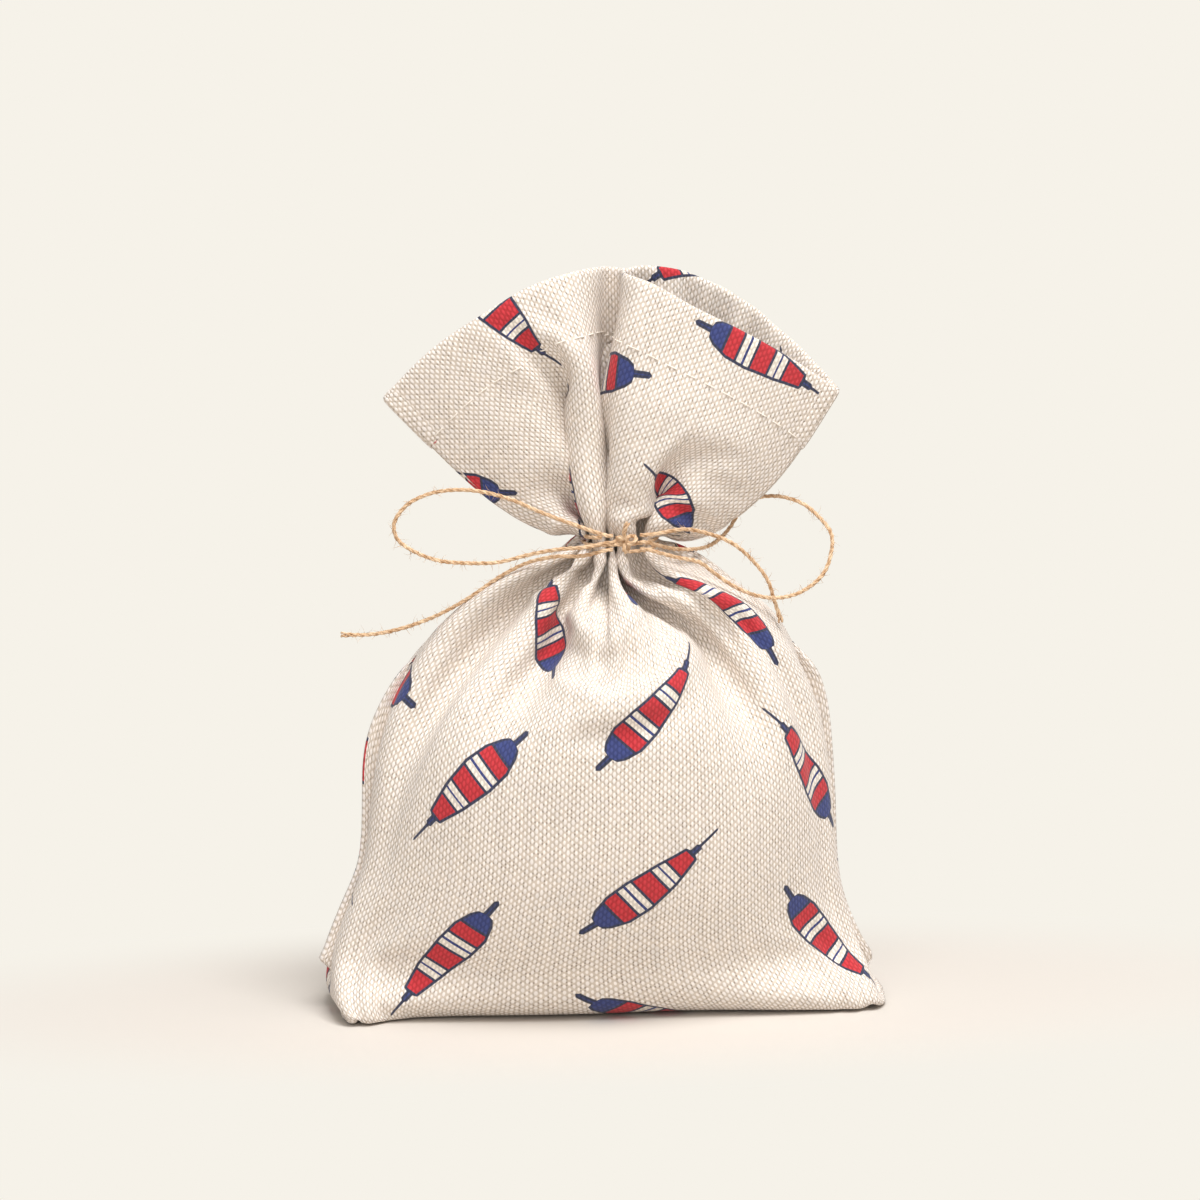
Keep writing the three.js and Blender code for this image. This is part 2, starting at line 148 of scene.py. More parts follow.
# The foot's edge is rounded: how far it stands off the floor, and over which height that fades
EDGE_LIFT = 0.7
EDGE_FADE = 2.5

# How far the foot's edge lies from the bottom fold, at places along the cloth's width
FOOT_EDGE = {
    "front": [
        (-60, 3), (-55, 14), (-50, 17), (-44, 16.8), (-38, 14.4), (-31, 12.6), (-24, 13), (-12, 15),
        (-2, 15.8), (6, 15), (14, 15.8), (26, 18), (38, 19), (48, 18), (54, 13.6), (60, 3),
    ],
    "back": [
        (-60, 3), (-54, 13), (-44, 16), (-20, 14.2), (0, 13.6), (20, 14.2), (44, 16), (54, 13), (60, 3),
    ],
}

# The bottom corners' ears: how far each seam turns forward, over which height and power of the width
LEFT_EAR = 12.0
RIGHT_EAR = 3.0
EAR_HEIGHT = 34.0
EAR_POWER = 8

# The tie: how far up the cloth it is, and how high above the floor
TIE_AT = 124.0
TIE_HEIGHT = 94.5

# The gathers under the tie: over which height and power they form, and how much cloth they take up
PLEAT_REACH = 34.0
PLEAT_POWER = 2.2
PLEAT_EXTRA = 4.5

# The wadding inside: its lowest and highest ring, how many rings and sides, and how far it tapers past them
FILLING_SPAN = (3.0, 80.0)
FILLING_RINGS, FILLING_SIDES = 30, 56
FILLING_TIPS = (0.4, 1.0)

# The cloth that bounds the wadding: how far above it counts, how near in height and turn, and the gap to it
CLOTH_ABOVE = 8.0
NEAR_HEIGHT, NEAR_TURN = 4.0, 0.16
FILLING_GAP = 2.0
LEAST_REACH = 0.5
FILLING_ROUNDS = 3

# The camera stands where the photograph was taken from
CAMERA_AZIMUTH = -7.0
CAMERA_ELEVATION = 10.0
CAMERA_DISTANCE = 900.0
CAMERA_TARGET = (0.4, 0.0, 82.0)
CAMERA_LENS = 135.0
CAMERA_SENSOR = 36.0
CAMERA_SHIFT = -0.0025

# Folds of the neck under the twine: place along the cloth's width, x and y, seen this far up the view
NECK_UP = 12.6
NECK_FOLDS = {
    "front": [
        (-60, -3, 0), (-54, -2.6, -4.8), (-48, -2, 0.8), (-41, -1.4, -4), (-34, -1.6, 1.8),
        (-27.5, -2.2, -4.4), (-22.5, -0.8, -7.4), (-17.5, 0.6, -5), (-11, 0.8, 1.4), (-4.5, 1.4, -5.4),
        (-1.5, 2.4, -5.6), (5, 2.2, 1.4), (10.5, 2.6, -3.6), (16, 2.8, 1.6), (23, 2.8, -5),
        (27, 4, -7.8), (32.5, 6.2, -6.2), (39, 7, 0.6), (46, 7.8, -5.4), (50, 9, -6), (55, 9.8, -2),
        (60, 10.4, 0.4),
    ],
    "back": [
        (-60, -3, 0), (-54, -3, 4.8), (-47, -2.4, -0.2), (-39.5, -1, 6), (-32, -0.2, 0.4),
        (-25, 0.8, 6.8), (-18, 1.6, 0.6), (-11, 2.4, 7.2), (-4, 3.2, 0.6), (3, 4.2, 7.2), (10, 5, 0.6),
        (17, 5.8, 7), (24, 6.6, 0.6), (31, 7.4, 6.4), (38.5, 8.4, 0.2), (46, 9.4, 5.4), (53, 10, 0.2),
        (57, 10.4, 2.6), (60, 10.4, 0.4),
    ],
}

# How far under the tie the shoulders' folds run out
SHOULDER_REACH = 46.0

# Folds by the row's height above the tie: place along the width, across and up in the view, and y
FOLDS = {
    "front": {
        -28: [
            (-60, -32, -2.6, 0), (-53, -27.8, -2, -8.5), (-44, -18.6, -4.4, -1), (-37, -17.8, -5, -10),
            (-31, -14.6, -7.6, -14), (-24, -9.2, -9.2, -8.5), (-17, -7, -10.4, -15.5),
            (-12, -3.4, -12.2, -20), (-1, 4, -13, -23), (10, 12, -11.4, -22.5), (17, 17.4, -8.4, -20),
            (26, 19.4, -7.4, -9), (35, 23, -4.8, -12), (44, 28, -3, -14), (52, 33, -2.4, -8),
            (60, 36, -3, 0),
        ],
        -18: [
            (-60, -22, 4.2, 0), (-53, -19.4, 4, -9), (-45, -13.4, 1.6, 0.5), (-37, -12.8, 1.4, -10),
            (-31, -9.8, -0.8, -13.5), (-25.5, -7.4, -2, -5), (-19, -6.2, -2.6, -13.5),
            (-14, -3.6, -3.9, -18), (-4, 1.6, -4.8, -21), (6, 6.8, -1.8, -18.5), (19, 9, -1, -5),
            (32, 14.2, 1.2, -15.5), (42, 19.6, 2.4, -15), (52, 24.2, 3.2, -8), (60, 27.8, 3.6, 0),
        ],
        -9: [
            (-60, -11.6, 8.4, 0), (-53, -10.6, 7.6, -7.5), (-46, -8.2, 6.4, 0.5), (-36, -6.4, 5.4, -9.5),
            (-28.5, -3.4, 4.6, -1), (-19, -1.6, 4.2, -12), (-9, 0.4, 4, -1.5), (1, 1.8, 3.8, -12),
            (13, 3.4, 3.6, -0.5), (24, 5.2, 4.4, -10.5), (34, 8, 5.2, -1.5), (45, 12, 6.2, -10.5),
            (52, 15.2, 7.2, -6), (60, 18.4, 8.2, 0),
        ],
        10: [
            (-60, -11.6, 13.6, 0), (-53.7, -7.2, 17.8, -4), (-47, -5.6, 20, 1), (-40, -4.6, 21.6, -2.5),
            (-33, -5, 22.8, 2), (-26, -6.8, 24.4, -4.5), (-22, -3.4, 24.4, -8.4),
            (-18, -0.2, 23.8, -5.5), (-11.5, 0.2, 23.2, 1), (-5.5, 0.8, 22.4, -5.5), (-2.5, 2.2, 22, -6),
            (4, 1.8, 21.6, 0), (10, 1.6, 21.2, -3), (16, 1.6, 20.8, 2), (22, 0.6, 20.2, -4.5),
            (25, 1.8, 19.4, -8.5), (29, 5.6, 17.8, -9.5), (32.5, 8.8, 16.6, -7.5),
            (39.5, 9.8, 17.6, -1.5), (47, 11, 19.4, -6.5), (50, 13.2, 17.6, -7.8), (54, 16.3, 15.9, -6),
            (60, 20.5, 12.9, 0),
        ],
        20: [
            (-60, -20.6, 18.2, 0), (-50, -15, 23.6, -4), (-45, -11.4, 27.2, -5), (-39, -7.4, 31.2, -4),
            (-31, -5.8, 33.2, 2), (-24, -7, 34.8, -4), (-20, -3.6, 34.4, -8), (-16.5, -0.8, 33.6, -5),
            (-8, 0, 32.8, 2), (2, 0, 32, -1), (10, -0.6, 31.6, 3), (16, -0.4, 31.2, -2),
            (19.5, 0.4, 30.6, -7.5), (24, 5, 29, -10), (29, 9.4, 27, -9.8), (32.5, 12.2, 26, -8.5),
            (37.5, 13.2, 26, -4.6), (42.5, 14.6, 27.2, -7.6), (48, 19, 23.6, -7.6), (54, 23.1, 19.9, -5),
            (60, 27.2, 16.1, 0),
        ],
        30: [
            (-60, -28.6, 24.4, 0), (-45, -18.6, 34.4, -5), (-34, -10.8, 40.4, -5.5),
            (-29, -7.4, 42, -3.5), (-24, -6.6, 43.2, -4.5), (-16, -3, 43.6, -7.4),
            (-11, -0.8, 43.8, -3.4), (-2, 1.6, 43.2, 6), (6, 0.8, 42.4, 1), (12, 0.4, 41.8, -4),
            (15, 1.2, 41.4, -8), (19, 4.4, 40, -10.4), (24, 9, 38.2, -11), (36, 19, 33.4, -9.4),
            (48, 27.6, 28.2, -6.4), (60, 34.6, 23.2, 0),
        ],
        41: [
            (-60, -36.6, 32, 0), (-45, -26.4, 42.2, -4.4), (-30, -15.6, 49.6, -6.5),
            (-16, -5.6, 54.2, -7.2), (-8, -0.4, 56, -1), (-1, 2.6, 55.6, 6), (6.5, 2, 55.6, -1),
            (13, 3.8, 55.6, -9), (16.5, 6.8, 54.2, -10.6), (24, 13.2, 48.8, -9.6),
            (36, 23.2, 43.6, -8.6), (48, 32.8, 38.4, -5.6), (60, 41.8, 32.4, 0),
        ],
        52: [
            (-60, -44, 40, 0), (-45, -34.2, 50, -3.5), (-30, -21.8, 57.8, -6), (-16, -9.4, 64.6, -6.5),
            (-8, -1.4, 66.6, -2.5), (0, 2.6, 66.4, 4.5), (5, 2.4, 65.6, 0), (9.5, 4.2, 64.6, -7.5),
            (12.5, 6.8, 64.2, -10), (24, 17.4, 58.6, -8.5), (36, 27.4, 53.8, -7.5),
            (48, 37.4, 48.6, -4.5), (60, 47.6, 41.2, 0),
        ],
    },
    "back": {
        -18: [
            (-60, -22, 4.2, 0), (-51, -16.6, 3.4, 9), (-42, -12, 2.4, 2), (-31, -7, 1.6, 16),
            (-21, -3, 1, 6), (-9, 1.4, 0.6, 18.5), (2, 5, 0.4, 7), (13, 9.4, 0.4, 18), (24, 13, 0.8, 6),
            (34, 17, 1.2, 15), (43, 20.6, 1.6, 3), (52, 24.6, 2.4, 8), (60, 27.8, 3.6, 0),
        ],
        -9: [
            (-60, -11.6, 8.4, 0), (-53, -9.4, 8, 6.4), (-46, -6.6, 7.6, 0.4), (-38, -4, 7.4, 9.4),
            (-30, -2, 7.2, 0.6), (-21, 0, 7.2, 10.8), (-13, 1.6, 7.2, 1), (-4, 3.4, 7.2, 11.4),
            (4, 5, 7.2, 1), (13, 6.8, 7.4, 11), (21, 8.4, 7.6, 1), (30, 10.2, 8, 10),
            (38, 11.8, 8.4, 0.8), (46, 13.2, 8.8, 7), (53, 15.6, 8.6, 1), (60, 18.4, 8.2, 0),
        ],
        10: [
            (-60, -11.6, 13.6, 0), (-50, -7.6, 17, 5.4), (-40, -4.2, 20, 7.4), (-33, -2.6, 21.6, 2.6),
            (-24, -0.6, 22.6, 8.4), (-17, 1, 22.8, 2.6), (-8, 2.8, 23.2, 8.8), (0, 4.2, 23.2, 2.4),
            (8, 5.8, 22.8, 8.8), (17, 7.8, 22, 3), (26, 10.2, 20.8, 8.2), (36, 13, 18.8, 3.4),
            (47, 16.4, 16.2, 6.4), (60, 20.5, 12.9, 0),
        ],
        20: [
            (-60, -20.6, 18.2, 0), (-46, -14, 25.2, 6.4), (-34, -7.8, 29.6, 6.8), (-24, -3.6, 31.6, 9),
            (-14, -0.2, 32.4, 4.4), (-3, 3.2, 32.8, 9.8), (9, 7.2, 32.2, 4.6), (20, 11.8, 30.8, 9.6),
            (32, 17.4, 27.2, 5.8), (46, 22.8, 21.7, 6), (60, 27.2, 16.1, 0),
        ],
        30: [
            (-60, -28.6, 24.4, 0), (-44, -18.6, 34.4, 6.4), (-26, -7, 41.2, 9), (-12, 0.2, 43, 6.2),
            (0, 5.4, 43.2, 9.8), (13, 11.4, 41.6, 7), (26, 19, 37.6, 9.4), (44, 27.8, 29.2, 5.6),
            (60, 34.6, 23.2, 0),
        ],
        41: [
            (-60, -36.6, 32, 0), (-43, -23.4, 42.4, 6), (-24, -9.8, 51.6, 8), (0, 6.2, 55.6, 8.4),
            (22, 21, 51.2, 8.8), (42, 33, 41.6, 5.6), (60, 41.8, 32.4, 0),
        ],
        52: [
            (-60, -44, 40, 0), (-46, -34.2, 46.8, 4), (-32, -22.2, 54.8, 6), (-18, -10.2, 61.8, 7),
            (-6, -0.6, 66.4, 7), (6, 9.4, 68, 7.5), (12, 15, 67.6, 8), (23, 25, 63, 8),
            (36, 34.4, 56.2, 6), (48, 41.6, 49.2, 3.5), (60, 47.6, 41.2, 0),
        ],
    },
}

# The twine: three plies laid together
TWINE = 0.9
PLIES = 3
PLY_RADIUS = 0.215
PLY_OFFSET = 0.215
LAY_LENGTH = 4.4
TWINE_STEP = 0.45
PLY_SIDES = 6

# Each ply swells and thins: by which share, how many radians to the millimetre, and the shift between plies
LONG_SWELL, LONG_RATE, LONG_SHIFT = 0.10, 1.7, 2.1
SHORT_SWELL, SHORT_RATE = 0.06, 4.3

# Bare ends fray: over which length and how wide, and each strand's lay starts turned on from the last one's
FRAY_LENGTH = 4.0
STRAND_FRAY, NUB_FRAY = 0.25, 0.2
STRAND_TURN = 1.3

# A curve is drawn with this many points to a span before it is cut into even steps
SPAN_POINTS = 24

# The knot stands before the neck, and each strand leaves one of its sides at one of three levels
KNOT_CENTRE = (3.6, -11.75, 95.5)
KNOT_HALF_WIDTH = 2.7
STRAND_LEVEL = 1.4

# The knot's trefoil: how far it swings in x, y and z, the share of its second swing, and how far back it sits
KNOT_SWING = (0.95, 0.85, 0.85)
SECOND_SWING = 1.25
KNOT_SET_BACK = 0.2
KNOT_POINTS = 90

# The knot's nub and its crossbar, from the knot's centre
KNOT_NUB = [(-0.2, -0.4, 0.6), (-0.6, -0.9, 2.0), (-0.3, -1.2, 3.2), (0.1, -1.3, 4.2)]
KNOT_BAR = [
    (-KNOT_HALF_WIDTH, 0.0, 0.0), (-1.2, 0.5, 0.5), (1.2, 0.5, -0.4), (KNOT_HALF_WIDTH, 0.0, 0.0),
]


def strand_start(side, level):
    """The two points where a strand leaves the knot: on its side face, and a twine's width further out."""
    x, y, z = KNOT_CENTRE
    reach = (KNOT_HALF_WIDTH, KNOT_HALF_WIDTH + TWINE)
    return [(x + side * r, y, z + level * STRAND_LEVEL) for r in reach]


# The bow's free strands, from the knot outwards, in millimetres
STRAND_ROUTES = {
    "bow_loop_left": strand_start(-1, 1) + [
        (-6.5, -11.4, 99.1), (-13.4, -10.4, 101.7), (-18.6, -9.6, 104), (-24.1, -9, 105.6),
        (-29.3, -8.6, 106.1), (-34.9, -8.4, 105.4), (-39.6, -8.4, 103.1), (-42, -8.6, 99.6),
        (-41.4, -8.8, 96.6), (-38.3, -9, 94.2), (-33.6, -9.2, 92.3), (-27.5, -9.4, 91.6),
        (-21.4, -9.6, 91.7), (-15.9, -10.2, 93.1), (-9.9, -11.2, 94.3), (-4.6, -11.8, 94.7),
    ] + strand_start(-1, 0)[::-1],
    "bow_tail_left": strand_start(-1, -1) + [
        (-5.1, -10.6, 92.8), (-10.4, -8.6, 92.4), (-15.6, -6.6, 90.9), (-21, -5, 87.9),
        (-26.3, -4.4, 84.2), (-32.5, -4.2, 80.7), (-39.5, -4.6, 78.2), (-46.3, -5, 77),
        (-52.4, -5.4, 77.1),
    ],
    "bow_tail_right": strand_start(1, 1) + [
        (10.5, -11.4, 97.2), (15.4, -10.4, 97.7), (20.4, -9.4, 96.5), (25.3, -8.8, 94.3),
        (29.6, -8.6, 90.5), (32.4, -8.6, 86.7), (33.6, -8.4, 83.1), (35.2, -8, 78.2),
    ],
    "bow_loop_right": strand_start(1, 0) + [
        (12.3, -9, 93.8), (17.8, -4, 92.6), (22.6, 1.5, 92.6), (26.4, 5, 94.9), (28.9, 6, 98.3),
        (31.3, 5.6, 100.8), (35.7, 4, 101.8), (40.8, 1.5, 100.6), (44, -0.5, 98), (46.1, -2.5, 94.9),
        (45.8, -4.5, 91.4), (43.9, -6.2, 87.4), (39.4, -8, 84.3), (34.4, -9.6, 83.4), (29.4, -11, 84.3),
        (24.4, -12, 86.7), (21, -12, 89.1), (18.2, -11.8, 91.2), (13.5, -12, 92.4),
    ] + strand_start(1, -1)[::-1],
}
STRAND_ENDS = {
    "bow_loop_left": "knot",
    "bow_tail_left": "bare",
    "bow_tail_right": "bare",
    "bow_loop_right": "knot",
}

# The paper floor and backdrop
BACKDROP = "#f6f2e9"
FLOOR_COLOUR = "#d0c9c1"
FLOOR_HALF = 1500.0

# How far out the floor passes into the backdrop, in metres, on these scales across and along the view
SHADOW_REACH = (0.05, 0.11)
SHADOW_SCALE = (0.62, 1.6, 0.0)

# The light: a pale studio all round, and the soft boxes' places, sizes in metres and powers in watts
STUDIO_COLOUR, STUDIO_STRENGTH = "#fffdfa", 0.40
SOFT_BOXES = {
    "key_light": ((0.24, -0.50, 1.45), 0.9, 27.5),
    "fill_light": ((-0.35, -1.0, 0.50), 0.9, 3.2),
}
LIGHT_AIM = (0.0, 0.0, 0.08)

# The weave: thread spacing across and along the strip in millimetres
THREAD_PITCH = (0.74, 0.70)

# One thread's oval and one open crossing, as half axes in thread spacings
OVAL_WIDE, OVAL_LONG = 0.42, 0.82
SPECK_WIDE, SPECK_LONG = 0.30, 0.50

# How far threads wander, and how many wanders and darker or lighter patches there are to a metre
THREAD_WANDER = 0.8
WANDERS_PER_METRE = 90.0
PATCHES_PER_METRE = 70.0

# Slubs: a thread's tone changes this often across it and along it, per thread spacing
SLUB_ACROSS, SLUB_ALONG = 0.7, 0.03

# Tones: the darkest, and what chance, the warp's and weft's slubs and the patches add to it
DARKEST_TONE = 0.66
CHANCE_TONE, WARP_TONE, WEFT_TONE, PATCH_TONE = 0.13, 0.26, 0.18, 0.10

# The canvas: the warp's ovals, the weft between them, and the shade where threads leave a gap
OVAL_COLOUR, WEFT_COLOUR, GAP_COLOUR = "#f8f0ea", "#d0c3b5", "#6f5f4f"

# Fibres of the jute, twists of the sewing thread and tufts of the wadding, to a metre
JUTE_FIBRES_PER_METRE = 900.0
TWISTS_PER_METRE = 2500.0
TUFTS_PER_METRE = 120.0

# The print: one fishing float in each cell of its layout
CELL_SIZE = 36.0
FLOAT_LENGTH = 33.0
FLOAT_HALF_WIDTH = 4.2
OUTLINE_WIDTH = 0.6
PRINT_SHIFT = (0.31, 0.18, 0.0)

# How sharp the ink's edge is, how much of the cloth it covers, and the painted shade and highlight by which
# the ink shows the weave's rise and fall
INK_SHARPNESS = 8.0
INK_COVER = 0.97
INK_PAINTED_RELIEF, INK_SHADE = 0.32, 0.78

# A float's half width along its axis, as shares of its length and of the print's half width
FLOAT_OUTLINE = [
    (0.0, 0.0), (0.02, 0.07), (0.15, 0.09), (0.16, 0.19), (0.21, 0.19), (0.22, 0.42), (0.40, 0.76),
    (0.60, 0.97), (0.74, 0.94), (0.84, 0.66), (0.88, 0.42), (0.885, 0.19), (0.98, 0.17), (1.0, 0.0),
]

# The inks, and where along a float each of its bands begins
INKS = {"dark": "#28304c", "navy": "#2b3a78", "red": "#c4222f", "white": "#efe5d8"}
FLOAT_BANDS = [
    (0.0, "navy"), (0.21, "dark"), (0.228, "red"), (0.345, "dark"), (0.36, "white"), (0.395, "navy"),
    (0.41, "white"), (0.445, "dark"), (0.46, "red"), (0.565, "dark"), (0.58, "white"), (0.615, "navy"),
    (0.63, "white"), (0.665, "dark"), (0.68, "red"), (0.765, "dark"), (0.78, "navy"),
]

# Hem stitches: how far below the mouth they lie, and how far each stands off the cloth and dips into it
STITCH_BELOW = 12.5
STITCH_PITCH = 4.3
STITCH_LENGTH = 2.6
STITCH_MARGIN = 4.0
STITCH_STAND, STITCH_DIP = 0.16, 0.50
STITCH_POINTS = 9
STITCH_SIDES = 6
THREAD_RADIUS = 0.13

# The winding: its turns, their rise per turn, its room on the cloth, and where its ends stop, in radians
WRAP_TURNS = 2.0
WRAP_RISE = 1.5
WRAP_ROOM = 0.15
WRAP_STOP = 0.12

# How many directions bound the neck, in how many rounds they are evened out, and the winding's points
WRAP_DIRECTIONS = 180
WRAP_ROUNDS = 30
WRAP_POINTS = 300

# Stray fibres: how many per step of twine, how far they reach, how they lean and bend, and their thickness
FIBRE_SEED = 7
FIBRES_PER_STEP = 0.9
FIBRE_ROOT = 0.35
FIBRE_REACH = (0.5, 1.7)
FIBRE_RISE = 1.3
FIBRE_LEAN = 1.5
FIBRE_BEND = 0.25
FIBRE_RADIUS = 0.045
FIBRE_TAPER = 1.15


def smooth_through(x, y, at):
    """Values at places along x of the monotone cubic through (x, y): each slope is the weighted harmonic mean
    of the two steps beside it, or flat where they turn, and an end's slope is that of its step."""
    x, y = np.asarray(x, float), np.asarray(y, float)
    y = y.reshape(len(x), -1)
    gap = np.diff(x)[:, None]
    rise = np.diff(y, axis=0) / gap
    slope = np.zeros_like(y)
    w1, w2 = 2 * gap[1:] + gap[:-1], gap[1:] + 2 * gap[:-1]
    level = rise[:-1] * rise[1:] <= 0
    before, after = np.where(level, 1.0, rise[:-1]), np.where(level, 1.0, rise[1:])
    slope[1:-1] = np.where(level, 0, (w1 + w2) / (w1 / before + w2 / after))
    slope[0], slope[-1] = rise[0], rise[-1]
    i = np.clip(np.searchsorted(x, at, side="right") - 1, 0, len(x) - 2)
    t = ((at - x[i]) / (x[i + 1] - x[i]))[..., None]
    h = gap[i]
    return ((1 + 2 * t) * (1 - t) ** 2 * y[i] + t * (1 - t) ** 2 * h * slope[i]
            + t * t * (3 - 2 * t) * y[i + 1] + t * t * (t - 1) * h * slope[i + 1])


def camera_axes():
    """Unit vectors of the view: right across, up, and back towards the camera."""
    a, e = math.radians(CAMERA_AZIMUTH), math.radians(CAMERA_ELEVATION)
    back = np.array([math.sin(a) * math.cos(e), -math.cos(a) * math.cos(e), math.sin(e)])
    right = np.array([math.cos(a), math.sin(a), 0.0])
    return right, np.cross(back, right), back


def on_sight_line(across, up, y):
    """Points on the camera's sight lines: each line runs from the camera through the target's plane at
    (across, up), and is followed to where its y is the one asked for."""
    right, above, back = camera_axes()
    target = np.array(CAMERA_TARGET)
    eye = target + back * CAMERA_DISTANCE
    aim = target + across[:, None] * right + up[:, None] * above - eye
    return eye + aim * ((y - eye[1]) / aim[:, 1])[:, None]


def make_camera():
    """A long lens, 0.9 m from the pouch."""
    data = bpy.data.cameras.new("camera")
    data.lens = CAMERA_LENS
    data.sensor_width = CAMERA_SENSOR
    data.shift_x = CAMERA_SHIFT
    camera = bpy.data.objects.new("camera", data)
    bpy.context.scene.collection.objects.link(camera)
    back = Vector(camera_axes()[2])
    camera.location = (Vector(CAMERA_TARGET) + back * CAMERA_DISTANCE) * MM
    camera.rotation_mode = "QUATERNION"
    camera.rotation_quaternion = (-back).to_track_quat("-Z", "Y")
    bpy.context.scene.camera = camera


def linear(hex_colour):
    """A linear RGBA colour from an sRGB hex value."""
    srgb = [int(hex_colour[i:i + 2], 16) / 255 for i in (1, 3, 5)]
    return [c / 12.92 if c <= 0.04045 else ((c + 0.055) / 1.055) ** 2.4 for c in srgb] + [1.0]


def node(tree, kind, inputs=(), **settings):
    """Adds a node with its settings. inputs fills its sockets in order, or by name where it is a dict, each
    with a value, an output, or the first output of a node."""
    made = tree.nodes.new(kind)
    for name, value in settings.items():
        setattr(made, name, value)
    sockets = [socket for socket in made.inputs if socket.enabled]
    for key, value in inputs.items() if isinstance(inputs, dict) else enumerate(inputs):
        socket = sockets[key] if isinstance(key, int) else next(s for s in sockets if s.name == key)
        if isinstance(value, bpy.types.Node):
            value = next(output for output in value.outputs if output.enabled)
        if isinstance(value, bpy.types.NodeSocket):
            tree.links.new(value, socket)
        else:
            socket.default_value = value
    return made


def new_mesh(name, points, faces, smooth=True):
    """A mesh object from points in millimetres and faces of four or three corners."""
    mesh = bpy.data.meshes.new(name)
    mesh.from_pydata((np.asarray(points) * MM).tolist(), [], [[int(i) for i in f] for f in faces])
    mesh.polygons.foreach_set("use_smooth", np.full(len(mesh.polygons), smooth))
    made = bpy.data.objects.new(name, mesh)
    bpy.context.scene.collection.objects.link(made)
    return made


def grid_faces(index, flip=False):
    """Quads between neighbouring rows and columns of a grid of point numbers."""
    quads = np.stack([index[:-1, :-1], index[:-1, 1:], index[1:, 1:], index[1:, :-1]], -1).reshape(-1, 4)
    return quads[:, ::-1] if flip else quads


def catmull_rom(points, step):
    """Points every step along the centripetal Catmull-Rom curve through points: knots lie the square root of
    the chord apart, and each span blends two quadratics."""
    p = np.asarray(points, float)
    p = np.concatenate([[2 * p[0] - p[1]], p, [2 * p[-1] - p[-2]]])
    out = []
    for i in range(1, len(p) - 2):
        p0, p1, p2, p3 = p[i - 1:i + 3]
        t0 = 0.0
        t1 = t0 + np.linalg.norm(p1 - p0) ** 0.5
        t2 = t1 + np.linalg.norm(p2 - p1) ** 0.5
        t3 = t2 + np.linalg.norm(p3 - p2) ** 0.5
        t = np.linspace(t1, t2, SPAN_POINTS, endpoint=False)[:, None]
        a1 = (t1 - t) / (t1 - t0) * p0 + (t - t0) / (t1 - t0) * p1
        a2 = (t2 - t) / (t2 - t1) * p1 + (t - t1) / (t2 - t1) * p2
        a3 = (t3 - t) / (t3 - t2) * p2 + (t - t2) / (t3 - t2) * p3
        b1 = (t2 - t) / (t2 - t0) * a1 + (t - t0) / (t2 - t0) * a2
        b2 = (t3 - t) / (t3 - t1) * a2 + (t - t1) / (t3 - t1) * a3
        out.append((t2 - t) / (t2 - t1) * b1 + (t - t1) / (t2 - t1) * b2)
    out.append(p[-2][None])
    dense = np.concatenate(out)
    along = np.concatenate([[0], np.cumsum(np.linalg.norm(np.diff(dense, axis=0), axis=1))])
    count = max(2, int(round(along[-1] / step)) + 1)
    even = np.linspace(0, along[-1], count)
    return np.stack([np.interp(even, along, dense[:, k]) for k in range(3)], 1)


def turning_frame(path):
    """Two unit vectors square to the path at each point. Each pair is the last one with its share along the
    new tangent taken out, so it doesn't spin."""
    tangent = np.gradient(path, axis=0)
    tangent /= np.linalg.norm(tangent, axis=1, keepdims=True)
    first = np.cross(tangent[0], (0.0, 0.3, 1.0))
    side = np.empty_like(path)
    for i, t in enumerate(tangent):
        first = first - t * (first @ t)
        first /= np.linalg.norm(first)
        side[i] = first
    return tangent, side, np.cross(tangent, side)


def tube(path, radius, sides):
    """A closed tube: rings of the given radius round the path's points, with a cap point at either end."""
    _, a, b = turning_frame(path)
    turn = np.arange(sides) * 2 * np.pi / sides
    radius = np.broadcast_to(radius, len(path))[:, None, None]
    aside = np.cos(turn)[:, None] * a[:, None] + np.sin(turn)[:, None] * b[:, None]
    rings = path[:, None] + radius * aside
    count = len(path)
    points = np.concatenate([rings.reshape(-1, 3), path[:1], path[-1:]])
    index = np.arange(count * sides).reshape(count, sides)
    index = np.concatenate([index, index[:, :1]], 1)
    quads = grid_faces(index, flip=True).tolist()
    low, high = count * sides, count * sides + 1
    caps = [(low, index[0, k], index[0, k + 1]) for k in range(sides)]
    caps += [(high, index[-1, k + 1], index[-1, k]) for k in range(sides)]
    return points, quads, [[int(i) for i in c] for c in caps]


def join_parts(parts):
    """Puts several (points, faces) together, with the later ones' point numbers moved on."""
    points, faces, start = [], [], 0
    for p, f in parts:
        points.append(p)
        faces += [[i + start for i in face] for face in f]
        start += len(p)
    return np.concatenate(points), faces


def laid_twine(path, start_turn=0.0, fray=0.0):
    """Twisted twine: each ply's line circles the path at PLY_OFFSET, one turn in LAY_LENGTH, with the plies
    evenly round it. Over the last FRAY_LENGTH, fray spreads the plies apart at a bare end."""
    along = np.concatenate([[0], np.cumsum(np.linalg.norm(np.diff(path, axis=0), axis=1))])
    _, a, b = turning_frame(path)
    open_end = np.clip((along - (along[-1] - FRAY_LENGTH)) / FRAY_LENGTH, 0, 1) ** 2 * fray
    parts = []
    for k in range(PLIES):
        turn = start_turn + along / LAY_LENGTH * 2 * np.pi + k * 2 * np.pi / PLIES
        offset = (PLY_OFFSET + open_end)[:, None]
        line = path + offset * (np.cos(turn)[:, None] * a + np.sin(turn)[:, None] * b)
        swell = 1 + LONG_SWELL * np.sin(along * LONG_RATE + k * LONG_SHIFT)
        swell += SHORT_SWELL * np.sin(along * SHORT_RATE + k)
        points, quads, caps = tube(line, PLY_RADIUS * swell, PLY_SIDES)
        parts.append((points, quads + caps))
    return join_parts(parts)


